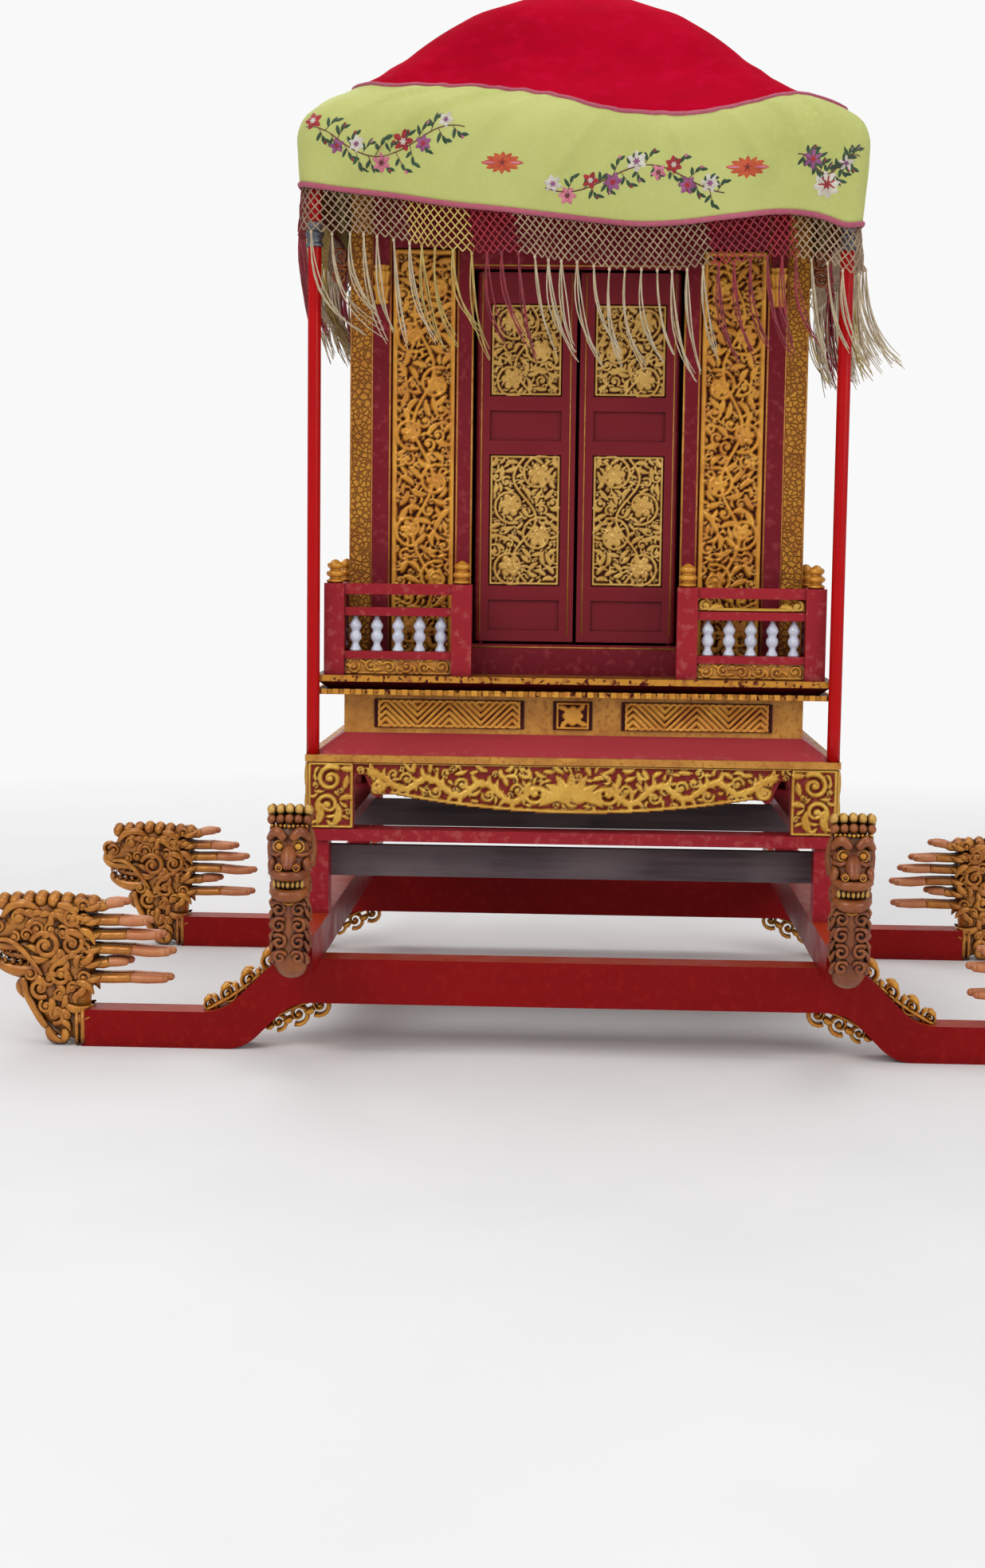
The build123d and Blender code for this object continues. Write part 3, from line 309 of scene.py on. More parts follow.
# Each gilding's third colour is the red-brown ground, also used as painted shade in the hollows; the hollows
# argument sets how far that painted shade reaches.
FACE_BROWN = gilding("face_brown", rgb(156, 86, 32), rgb(112, 46, 16), rgb(30, 8, 4), 0.34, 0.15, 0.012)
TAIL_RED = lacquer("tail_red", rgb(134, 30, 16), rgb(104, 18, 10), rgb(150, 64, 30), 0.4, 0.05)
GOLD = gilding("carved_gold", rgb(222, 158, 52), rgb(188, 112, 26), rgb(74, 22, 10))
DRAGON_GOLD = gilding("dragon_gold", rgb(206, 136, 46), rgb(150, 76, 20), rgb(48, 12, 5),
                      0.34, 0.3, 0.016)
FINGER = gilding("finger_gold", rgb(204, 132, 84), rgb(184, 104, 56), rgb(90, 30, 14), 0.42, 0.1)
GOLD_PALE = gilding("pale_gold", rgb(214, 172, 88), rgb(184, 134, 50), rgb(82, 34, 16))
GOLD_YELLOW = gilding("yellow_gold", rgb(226, 180, 74), rgb(196, 136, 36), rgb(98, 34, 22))
GOLD_DULL = gilding("dull_gold", rgb(206, 146, 56), rgb(168, 102, 32), rgb(96, 34, 20), 0.44, 0.3)
GOLD_STRIP = pounced("pounced_gold", rgb(208, 146, 44), rgb(178, 112, 30), rgb(126, 66, 18))
WHITE = glaze("white_paint", rgb(208, 210, 222), rgb(178, 180, 196), rgb(120, 104, 104))
BARE = timber("bare_board", rgb(92, 78, 82), rgb(62, 50, 54), rgb(122, 110, 112))
FRAME_WOOD = timber("frame_wood", rgb(150, 110, 74), rgb(104, 72, 46), rgb(170, 136, 100))
GREY = metal("cap_grey", rgb(128, 132, 138), rgb(84, 86, 92))
VELVET = cloth("crimson_velvet", rgb(196, 0, 40), rgb(172, 0, 32), rgb(206, 8, 56),
               700, 0.95, 0.0, True)
SATIN = cloth("pale_green_satin", rgb(210, 214, 130), rgb(198, 202, 116), rgb(220, 224, 150),
              1100, 0.55, 0.05)
PIPING = cloth("pink_piping", rgb(200, 104, 124), rgb(176, 80, 104), rgb(214, 140, 150),
               1400, 0.7, 0.2)
NET_TAN = thread("net_thread", rgb(178, 152, 120), rgb(136, 106, 80))
CREAM = thread("cream_yarn", rgb(222, 204, 168), rgb(190, 166, 130))
STRAW = thread("straw_yarn", rgb(214, 188, 104), rgb(178, 146, 66))
CRIMSON = thread("crimson_yarn", rgb(170, 30, 46), rgb(124, 14, 30))

# Paint of the nodes that are seen as they are; all others are replaced by pieces
node_paint = {
    BEAM_RED: ["front_beam", "rear_beam", "left_runner", "right_runner"],
    TABLE_RED: ["stand_posts", "foot_rails", "newels", "balustrade_rails"],
    SKIRT_RED: ["skirt"],
    APRON_RED: ["front_apron", "rear_apron", "right_apron", "left_apron", "table_legs"],
    DOOR_RED: ["left_door", "right_door"],
    MAROON: [
        "cabinet_base", "columns", "door_frame", "frieze", "left_wall", "right_wall", "back_wall",
        "cabinet_roof",
    ],
    COVE_RED: ["cornice"],
    GROUND_RED: [
        "left_door_carvings", "right_door_carvings", "left_front_panel", "right_front_panel",
        "waist_panels",
    ],
    GOLD_STRIP: ["pilaster_strips"],
    GOLD_DULL: ["waist", "slab", "kick_strips"],
    BARE: ["stand_boards"],
}
for paint, names in node_paint.items():
    for name in names:
        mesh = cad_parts[name].data
        mesh.materials.clear()
        mesh.materials.append(paint)


# Mesh making

def circle(count):
    """Angles of evenly spaced points round a circle."""
    return [tau * k / count for k in range(count)]


def winding(start, radius, turns, thick, count, hand=1, shrink=0.8, full=1.1, thin=0.4):
    """Points of a scroll that winds in: share of the way, offsets across and up, and thickness."""
    for k in range(count):
        t = k / (count - 1)
        angle = start + hand * tau * turns * t
        reach = radius * (1 - shrink * t)
        yield t, reach * cos(angle), reach * sin(angle), thick * (full - thin * t)


class Shape:
    """Collects the vertices and faces of one piece, with a paint for each face."""

    def __init__(self):
        self.verts, self.faces, self.paints, self.paint = [], [], [], 0

    def grid(self, points, closed_u=False, closed_v=False):
        """Skin over rows of points."""
        start, rows, cols = len(self.verts), len(points), len(points[0])
        for row in points:
            self.verts.extend(tuple(p) for p in row)
        for i in range(rows if closed_v else rows - 1):
            for j in range(cols if closed_u else cols - 1):
                a, b = i * cols, (i + 1) % rows * cols
                k = (j + 1) % cols
                self.face([start + a + j, start + a + k, start + b + k, start + b + j])

    def face(self, corners):
        self.faces.append(corners)
        self.paints.append(self.paint)

    def closed(self, rows, inside_out=False):
        """Skin over rings of points with a flat face at each end."""
        start, sides = len(self.verts), len(rows[0])
        self.grid(rows, closed_u=True)
        ring = [range(sides), range(sides)]
        ring[inside_out] = reversed(ring[inside_out])
        self.face([start + k for k in ring[0]])
        self.face([start + (len(rows) - 1) * sides + k for k in ring[1]])

    def tube(self, path, radius, sides=8, flat=1.0, ends=True, side_way=None):
        """Round or flattened tube along a path, with one radius or one for each point."""
        path = [Vector(p) for p in path]
        radii = [radius] * len(path) if isinstance(radius, (int, float)) else list(radius)
        rows, across = [], None
        for i, point in enumerate(path):
            along = (path[min(i + 1, len(path) - 1)] - path[max(i - 1, 0)]).normalized()
            if across is None:
                across = Vector(side_way) if side_way else along.orthogonal()
            across = (across - along * across.dot(along)).normalized()
            up = along.cross(across)
            rows.append([
                point + across * (cos(a) * radii[i]) + up * (sin(a) * radii[i] * flat)
                for a in circle(sides)
            ])
        if ends:
            self.closed(rows)
        else:
            self.grid(rows, closed_u=True)

    def ball(self, middle, size, rings=8, sides=12):
        """Ellipsoid."""
        rows = []
        for i in range(rings + 1):
            tilt = pi * (0.02 + 0.96 * i / rings)
            rows.append([
                Vector((size[0] * sin(tilt) * cos(a), size[1] * sin(tilt) * sin(a), size[2] * cos(tilt)))
                + Vector(middle)
                for a in circle(sides)
            ])
        self.closed(rows, inside_out=True)

    def piece(self, name, paints, body="palanquin", replaces=(), slot=None, smooth=True, change=None):
        """Make the Blender object; change is a matrix for a mirrored or turned copy."""
        mesh = bpy.data.meshes.new(name)
        verts = self.verts
        if change is not None:
            verts = [tuple(change @ Vector(p)) for p in verts]
        flip = change is not None and change.determinant() < 0
        faces = [face[::-1] for face in self.faces] if flip else self.faces
        mesh.from_pydata(verts, [], faces)
        for paint in paints if isinstance(paints, (list, tuple)) else [paints]:
            mesh.materials.append(paint)
        mesh.polygons.foreach_set("material_index", self.paints)
        mesh.polygons.foreach_set("use_smooth", [smooth] * len(faces))
        mesh.update()
        return settle(bpy.data.objects.new(name, mesh), body, replaces, slot)


def settle(piece, body="palanquin", replaces=(), slot=None):
    """Put a piece in the scene, on its body, in place of its nodes."""
    bpy.context.scene.collection.objects.link(piece)
    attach(piece, body)
    if replaces:
        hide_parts(*replaces)
    return piece


def smooth_line(rows):
    """A function through rows of place and value, eased between them."""
    xs, ys = np.array(rows, dtype=float).T
    slopes = np.gradient(ys, xs)

    def at(x):
        x = np.clip(x, xs[0], xs[-1])
        i = np.clip(np.searchsorted(xs, x) - 1, 0, len(xs) - 2)
        wide = xs[i + 1] - xs[i]
        t = (x - xs[i]) / wide
        return (
            (2 * t**3 - 3 * t**2 + 1) * ys[i] + (t**3 - 2 * t**2 + t) * wide * slopes[i]
            + (3 * t**2 - 2 * t**3) * ys[i + 1] + (t**3 - t**2) * wide * slopes[i + 1]
        )
    return at


def ripple(seed, count, low, high):
    """Smooth seeded noise of one variable with a period of one."""
    waves = random.Random(seed)
    terms = [
        (waves.randint(low, high), waves.uniform(0, tau), waves.uniform(0.5, 1.0))
        for _ in range(count)
    ]
    total = sum(term[2] for term in terms)

    def at(s):
        return sum(np.sin(tau * n * s + phase) * size for n, phase, size in terms) / total
    return at


# Canopy: one sheet of velvet over the ribs and a band of satin sewn to its edge

HALF_X, HALF_Y = 0.4643, 0.4223


def rim(s, half_x, half_y, radius):
    """Point and outward normal on a rounded rectangle; s from 0 to 1 starts at the front left corner."""
    long_x, long_y = 2 * (half_x - radius), 2 * (half_y - radius)
    arc = pi / 2 * radius
    d = (s % 1.0) * (2 * (long_x + long_y) + 4 * arc)
    # Each side has its length, its middle and the way along it
    for length, mid_x, mid_y, c, n in (
        (long_x, 0, -half_y, 1, 0), (long_y, half_x, 0, 0, 1),
        (long_x, 0, half_y, -1, 0), (long_y, -half_x, 0, 0, -1),
    ):
        if d <= length:
            off = d - length / 2
            return mid_x + c * off, mid_y + n * off, n, -c
        d -= length
        if d <= arc:
            angle = d / radius
            rx = n * cos(angle) + c * sin(angle)
            ry = n * sin(angle) - c * cos(angle)
            # The middle of the corner is one radius inwards from the end of the side
            mx = mid_x + c * length / 2 - n * radius
            my = mid_y + n * length / 2 + c * radius
            return mx + rx * radius, my + ry * radius, rx, ry
        d -= arc
    return mid_x, mid_y - long_y / 2, -1, 0


# Heights of the seam and the hem along the front as they show on the plane of the front edge
front_seam = smooth_line((
    (-0.4643, 1.584), (-0.40, 1.583), (-0.35, 1.5815), (-0.30, 1.580), (-0.22, 1.5776), (-0.1435, 1.5735),
    (-0.066, 1.5638), (0.012, 1.549), (0.064, 1.5417), (0.118, 1.538), (0.167, 1.539), (0.2186, 1.545),
    (0.27, 1.5565), (0.308, 1.5643), (0.345, 1.570), (0.39, 1.570), (0.4643, 1.566),
))
front_hem = smooth_line((
    (-0.5, 1.431), (-0.447, 1.426), (-0.403, 1.420), (-0.298, 1.408), (-0.2195, 1.397), (-0.1, 1.386),
    (-0.037, 1.379), (0.041, 1.3705), (0.093, 1.366), (0.171, 1.3688), (0.248, 1.3783), (0.351, 1.3866),
    (0.403, 1.3793), (0.447, 1.3644), (0.5, 1.362),
))
other_wave = ripple(11, 5, 2, 7)
CORNER = 0.036
SEAM_LEFT, SEAM_RIGHT = 1.600, 1.560
HEM_LEFT, HEM_RIGHT = 1.428, 1.372
PERIMETER = 4 * (HALF_X + HALF_Y - 2 * CORNER) + tau * CORNER
# Share of the way round at which the front ends
FRONT_END = 2 * (HALF_X - CORNER) / PERIMETER


def edge_height(s, front, left, right, share=1.0):
    """Height of the seam or the hem at s: the photograph's line in front, quiet waves elsewhere."""
    x, y, nx, ny = rim(s, HALF_X, HALF_Y, CORNER)
    back = HALF_Y * (1 - share)
    ahead = max(0.0, -ny) ** 2
    round_way = ((s - FRONT_END) % 1.0) / (1 - FRONT_END)
    rest = right + (left - right) * min(1.0, round_way) + 0.010 * float(other_wave(s))
    return ahead * (float(front(x * share * (1 - 0.27 * back))) + 0.194 * back) + (1 - ahead) * rest


def hem_height(s):
    return edge_height(s, front_hem, HEM_LEFT, HEM_RIGHT)


# Canopy by levels: height over CANOPY_Z, about that of the seam, share of the plan, corner radius
LEVELS = (
    (-0.25, 0.988, 0.026), (-0.17, 0.992, 0.028), (-0.11, 1.0, 0.032), (-0.07, 0.998, 0.036),
    (-0.045, 0.975, 0.040), (-0.028, 0.940, 0.048), (-0.014, 0.902, 0.055), (-0.002, 0.864, 0.062),
    (0.010, 0.826, 0.068), (0.020, 0.795, 0.072), (0.031, 0.765, 0.075), (0.045, 0.723, 0.077),
    (0.06, 0.690, 0.080), (0.08, 0.636, 0.083), (0.10, 0.596, 0.085), (0.12, 0.552, 0.085),
    (0.14, 0.504, 0.085), (0.16, 0.450, 0.085), (0.18, 0.392, 0.085), (0.197, 0.322, 0.085),
    (0.211, 0.262, 0.080), (0.223, 0.205, 0.070), (0.233, 0.145, 0.055), (0.241, 0.085, 0.035),
    (0.2455, 0.035, 0.014), (0.247, 0.006, 0.002),
)
CROWN = LEVELS[-1][0]
CANOPY_Z = 1.585
DOME_SHIFT = -0.0143
share_at = smooth_line([(z, share) for z, share, radius in LEVELS])
radius_at = smooth_line([(z, radius) for z, share, radius in LEVELS])
# Seam: the photograph's line, moved back on to the sloping shoulder
seam_places = np.linspace(0, 1, 1201)
seam_line = []
for place in seam_places:
    z = 1.58
    for _ in range(12):
        share = float(share_at(z - CANOPY_Z))
        z = 0.5 * (z + edge_height(place, front_seam, SEAM_LEFT, SEAM_RIGHT, share))
    seam_line.append(z)


def seam_height(s):
    return float(np.interp(s % 1.0, seam_places, seam_line))


def dome_shift(z):
    """The crown stands a little to the left of the frame's middle."""
    t = min(1.0, max(0.0, (z + 0.03) / 0.06))
    return DOME_SHIFT * t * t * (3 - 2 * t)


# Distance along the cloth at each height, so that rows keep even steps over the flat shoulder
climb = np.linspace(LEVELS[0][0], CROWN, 1200)
reach = np.array([float(share_at(z)) for z in climb]) * (HALF_X + HALF_Y) / 2
travel = np.concatenate([[0.0], np.cumsum(np.hypot(np.diff(climb), np.diff(reach)))])
pucker = ripple(5, 9, 30, 74)
billow = ripple(8, 6, 3, 12)
slack = ripple(21, 6, 5, 17)
# How far these waves and the hollow between the ribs move the cloth
PUCKER, BILLOW, DOME_SLACK, BAND_SLACK, HOLLOW = 0.0014, 0.003, 0.0016, 0.003, 0.006
DOME_LIFT, BAND_LIFT, BAND_BULGE, BAND_LEAST = 0.0012, 0.002, 0.010, 0.0015


def between(low, high, share):
    """Height at a share of the way along the cloth between two heights, all over CANOPY_Z."""
    ends = np.interp((low, high), climb, travel)
    return float(np.interp(ends[0] + (ends[1] - ends[0]) * share, travel, climb))


def cloth_point(s, z, out):
    """Point on the canopy's outline at s and z over CANOPY_Z, moved out along its normal."""
    share, radius = float(share_at(z)), float(radius_at(z))
    x, y, nx, ny = rim(s, HALF_X * share, HALF_Y * share, min(radius, 0.98 * HALF_Y * share))
    k = min(len(climb) - 2, int(np.searchsorted(climb, z)))
    rise, run = climb[k + 1] - climb[k], reach[k + 1] - reach[k]
    size = math.hypot(rise, run)
    level, upright = rise / size, -run / size
    return Vector((
        x + dome_shift(z) + nx * level * out, y + ny * level * out, CANOPY_Z + z + upright * out,
    ))


def dome_point(s, up):
    """Velvet at s round the plan, from 0 at the seam to 1 at the crown."""
    z = between(seam_height(s) - CANOPY_Z, CROWN, up)
    out = PUCKER * math.exp(-((up / 0.09) ** 2)) * float(pucker(s))
    out += BILLOW * float(billow(s + 0.07 * up)) * sin(pi * min(1, up * 1.05))
    out += DOME_SLACK * float(slack(s - 0.11 * up)) * (1 - up)
    out -= HOLLOW * sin(pi * up) * sin(pi * ((s / FRONT_END) % 1.0)) ** 2
    return cloth_point(s, z, out + DOME_LIFT)


AROUND, DOME_ROWS = 320, 38
dome = Shape()
rows = [[dome_point(k / AROUND, i / DOME_ROWS) for k in range(AROUND)] for i in range(DOME_ROWS + 1)]
dome.grid(rows, closed_u=True)
dome.verts.append(tuple(sum(rows[-1], Vector()) / AROUND + Vector((0, 0, 0.0004))))
last = DOME_ROWS * AROUND
for k in range(AROUND):
    dome.face([last + k, last + (k + 1) % AROUND, len(dome.verts) - 1])
dome_piece = dome.piece("dome_velvet", VELVET, replaces=["canopy_dome"], slot="crimson_cloth")

# Frame under the cloth: the ring on the poles and two ribs that follow the hips
POLE_X, POLE_Y, POLE_FOOT, RING_LOW = 0.438, 0.396, 0.487, 1.512
RIB_HALF, RIB_TALL, RIB_UNDER = 0.006, 0.012, 0.016
frame_wood = Shape()
frame_wood.grid([
    [
        Vector((*rim(k / 120, half_x, half_y, radius)[:2], z))
        for half_x, half_y, radius, z in (
            (0.452, 0.410, 0.034, RING_LOW), (0.452, 0.410, 0.034, 1.528),
            (0.430, 0.388, 0.020, 1.528), (0.430, 0.388, 0.020, RING_LOW),
        )
    ]
    for k in range(120)
], closed_u=True, closed_v=True)
hip = math.hypot(HALF_X, HALF_Y)
for turn in (-1, 1):
    way = Vector((HALF_X, turn * HALF_Y, 0)) / hip
    across = Vector((-way.y, way.x, 0))
    rows = []
    for k in range(61):
        t = 2 * k / 60 - 1
        z = between(-0.06, CROWN, 1 - abs(t))
        far = hip * float(share_at(z)) - 0.42 * float(radius_at(z)) - RIB_UNDER
        point = way * math.copysign(max(0.0, far), t)
        point += Vector((dome_shift(z), 0, CANOPY_Z + z - RIB_UNDER))
        rows.append([
            point + across * a + Vector((0, 0, b))
            for a, b in ((-RIB_HALF, 0), (RIB_HALF, 0), (RIB_HALF, -RIB_TALL), (-RIB_HALF, -RIB_TALL))
        ])
    frame_wood.grid(rows, closed_u=True)
frame_wood.piece(
    "canopy_frame_fitted", FRAME_WOOD, replaces=["canopy_frame"], slot="frame_timber", smooth=False,
)
poles = Shape()
for x in (-POLE_X, POLE_X):
    for y in (-POLE_Y, POLE_Y):
        poles.tube([(x, y, POLE_FOOT + (RING_LOW - POLE_FOOT) * k / 20) for k in range(21)], 0.011, 24)
poles.piece("canopy_poles_fitted", POLE_RED, replaces=["canopy_poles"], slot="pole_red")

# Folds of the band: place round it, its share down from the seam at both ends, lean, width, height
folds = [
    (0.035, 0.0, 0.8, -0.05, 0.0035, 0.0045), (0.07, 0.0, 0.9, -0.06, 0.004, 0.005),
    (0.1, 0.0, 0.75, -0.05, 0.0035, 0.0045), (0.135, 0.0, 0.8, -0.035, 0.003, 0.004),
    (0.16, 0.0, 0.5, 0.03, 0.003, 0.004), (0.188, 0.0, 0.7, 0.035, 0.0035, 0.0045),
    (0.212, 0.05, 0.9, 0.03, 0.003, 0.004), (0.232, 0.0, 0.9, 0.02, 0.003, 0.0045),
    (0.055, 0.0, 0.95, -0.045, 0.010, 0.0075), (0.085, 0.0, 0.6, -0.03, 0.006, 0.004),
    (0.115, 0.02, 0.9, -0.012, 0.008, 0.0055), (0.15, 0.0, 0.7, 0.01, 0.007, 0.0045),
    (0.172, 0.1, 1.0, -0.02, 0.009, 0.006), (0.2, 0.0, 0.55, 0.018, 0.006, 0.004),
    (0.222, 0.0, 0.8, -0.022, 0.008, 0.006), (0.242, 0.0, 1.0, -0.012, 0.007, 0.006),
    (0.258, 0.1, 1.0, 0.008, 0.008, 0.0065), (0.02, 0.0, 1.0, 0.02, 0.008, 0.005),
]
for _ in range(34):
    folds.append((
        chance.uniform(0.28, 0.99), chance.uniform(0, 0.2), chance.uniform(0.5, 1.0),
        chance.uniform(-0.03, 0.03), chance.uniform(0.006, 0.011), chance.uniform(0.003, 0.007),
    ))


def band_point(s, down, lift=0.0):
    """Satin at s round the plan, from 0 at the seam to 1 at the hem."""
    z = between(seam_height(s) - CANOPY_Z, hem_height(s) - CANOPY_Z, down)
    out = BAND_LIFT + BAND_BULGE * sin(pi * min(1.0, 0.05 + 0.9 * down))
    out += BAND_SLACK * float(slack(s + 0.04 * down))
    out += PUCKER * float(pucker(s)) * math.exp(-((down / 0.12) ** 2))
    for place, start, stop, lean, wide, tall in folds:
        off = (s - place - lean * down + 0.5) % 1.0 - 0.5
        if abs(off) < 3 * wide:
            fade = max(0.0, min(1.0, (down - start) * 6 + 0.4, (stop - down) * 4 + 0.4))
            out += 1.5 * tall * fade * math.exp(-((off / wide) ** 2))
    in_front = max(0.0, min(1.0, min(s % 1.0, FRONT_END - s % 1.0) / 0.02))
    return cloth_point(s, z, max(BAND_LEAST, out * (0.2 + 0.6 * in_front)) + lift)


AROUND_BAND, BAND_ROWS = 620, 22
band = Shape()
band.grid([
    [band_point(k / AROUND_BAND, i / BAND_ROWS) for k in range(AROUND_BAND)] for i in range(BAND_ROWS + 1)
], closed_u=True)
band_piece = band.piece("valance_satin", SATIN, replaces=["valance"], slot="pale_green_cloth")
for piece, thick in ((dome_piece, 0.0012), (band_piece, 0.0008)):
    shell = piece.modifiers.new("thickness", "SOLIDIFY")
    shell.thickness = thick
    shell.offset = -1.0

AROUND_PIPING = 360
piping = Shape()
for down, radius in ((0.0, 0.0042), (1.0, 0.0046)):
    ring = [band_point(k / AROUND_PIPING, down, 0.0012) for k in range(AROUND_PIPING)]
    rows = []
    for k, point in enumerate(ring):
        along = (ring[(k + 1) % AROUND_PIPING] - ring[k - 1]).normalized()
        across = Vector((along.y, -along.x, 0)).normalized()
        up = along.cross(across)
        beat = 1 + 0.05 * sin(k * 2.1)
        rows.append([point + (across * cos(a) * 0.8 + up * sin(a)) * radius * beat for a in circle(8)])
    piping.grid(rows, closed_u=True, closed_v=True)
piping_piece = piping.piece("valance_piping", PIPING, slot="pale_green_cloth")

# Fringe: a knotted net below the hem, then yarns in bundles, blown a little to the right
COLUMNS = 272
STEP = 1 / COLUMNS
NET_ROWS, NET_THREAD = 9, 0.0013
ROW_DROP, ROW_DRIFT, NET_SWAY, NET_OUT = 0.0078, 0.0022, 0.0035, 0.006
LONGEST_MESH = 0.05
drape = ripple(31, 7, 12, 40)


def yarn_colour(s):
    """Dyed stretches of the fringe: 0 cream, 1 straw, 2 crimson."""
    x, y, nx, ny = rim(s, HALF_X, HALF_Y, CORNER)
    if ny < -0.7:
        if -0.30 < x < -0.195:
            return 1
        return 2 if -0.195 <= x < -0.115 or 0.205 < x < 0.345 else 0
    wave = sin(tau * (s * 5.3 + 0.1))
    return 2 if wave > 0.86 else (1 if wave < -0.9 else 0)


def net_point(column, row):
    """Knot of the net, with slack rows that droop and drift."""
    s = ((column + 0.5 * (row % 2)) * STEP) % 1.0
    share = float(share_at(hem_height(s) - CANOPY_Z))
    x, y, nx, ny = rim(s, HALF_X * share, HALF_Y * share, CORNER)
    drop = ROW_DROP * row * (1 + 0.16 * float(drape(s)))
    out = NET_SWAY * float(drape(s * 0.5 + row * 0.02)) * row / NET_ROWS + NET_OUT * (row / NET_ROWS)
    along = ROW_DRIFT * row * (0.5 + 0.5 * float(drape(s + 0.3)))
    return Vector((x + nx * out + along * abs(ny), y + ny * out, hem_height(s) - 0.003 - drop))


net = Shape()
knots = {
    (column, row): net_point(column, row) for row in range(NET_ROWS + 1) for column in range(COLUMNS)
}
for row in range(NET_ROWS):
    for column in range(COLUMNS):
        net.paint = yarn_colour(column * STEP)
        here = knots[column, row]
        other = (column + (1 if row % 2 else -1)) % COLUMNS
        for below in (knots[column, row + 1], knots[other, row + 1]):
            if (below - here).length < LONGEST_MESH:
                net.tube([here, below], NET_THREAD, 3, ends=False)
net_piece = net.piece(
    "fringe_net", [NET_TAN, STRAW, CRIMSON], replaces=["fringe"], slot="fringe_thread", smooth=False,
)

YARN = [0.00135] * 6 + [0.0013, 0.0011, 0.0007]
yarns = Shape()
for column in range(0, COLUMNS, 2):
    s = column * STEP
    root = knots[column, NET_ROWS]
    x, y, nx, ny = rim(s, HALF_X, HALF_Y, CORNER)
    yarns.paint = yarn_colour(s)
    # The yarns at the front right corner are longer and blown further
    corner_pull = math.exp(-((x - 0.46) ** 2 + (y + 0.42) ** 2) / 0.03**2)
    length = chance.uniform(0.145, 0.185) * (1 + 0.15 * corner_pull)
    drift = chance.uniform(0.018, 0.05) + 0.055 * corner_pull
    if x < -0.42 and ny < -0.5:
        drift, length = 0.085, 0.2
    curl = chance.uniform(-0.012, 0.012)
    yarns.ball(root - Vector((0, 0, 0.002)), (0.0026, 0.0026, 0.0034), rings=4, sides=6)
    for strand in range(4):
        away = Vector((chance.uniform(-0.004, 0.004), chance.uniform(-0.004, 0.004), 0))
        far = chance.uniform(0.9, 1.08)
        path = []
        for k in range(9):
            t = k / 8
            wave = sin(t * 5 + column + strand) * 0.0022 * t
            path.append(root + Vector((
                drift * far * t * t * (0.5 + 0.5 * t) + away.x * sin(pi * t) * 1.6 + wave,
                ny * 0.004 * t + away.y * t * 1.5 + curl * t * t,
                -length * far * t * (1 - 0.12 * t * drift / 0.05),
            )))
        yarns.tube(path, YARN, 3, ends=False)
yarns_piece = yarns.piece("fringe_yarns", [CREAM, STRAW, CRIMSON], slot="fringe_thread")


# Carving in relief

# Parts of a carving lower than this share of its height are cut through; the rest is let in a little
GROUND_SHARE = 0.05
SUNK = 0.0004


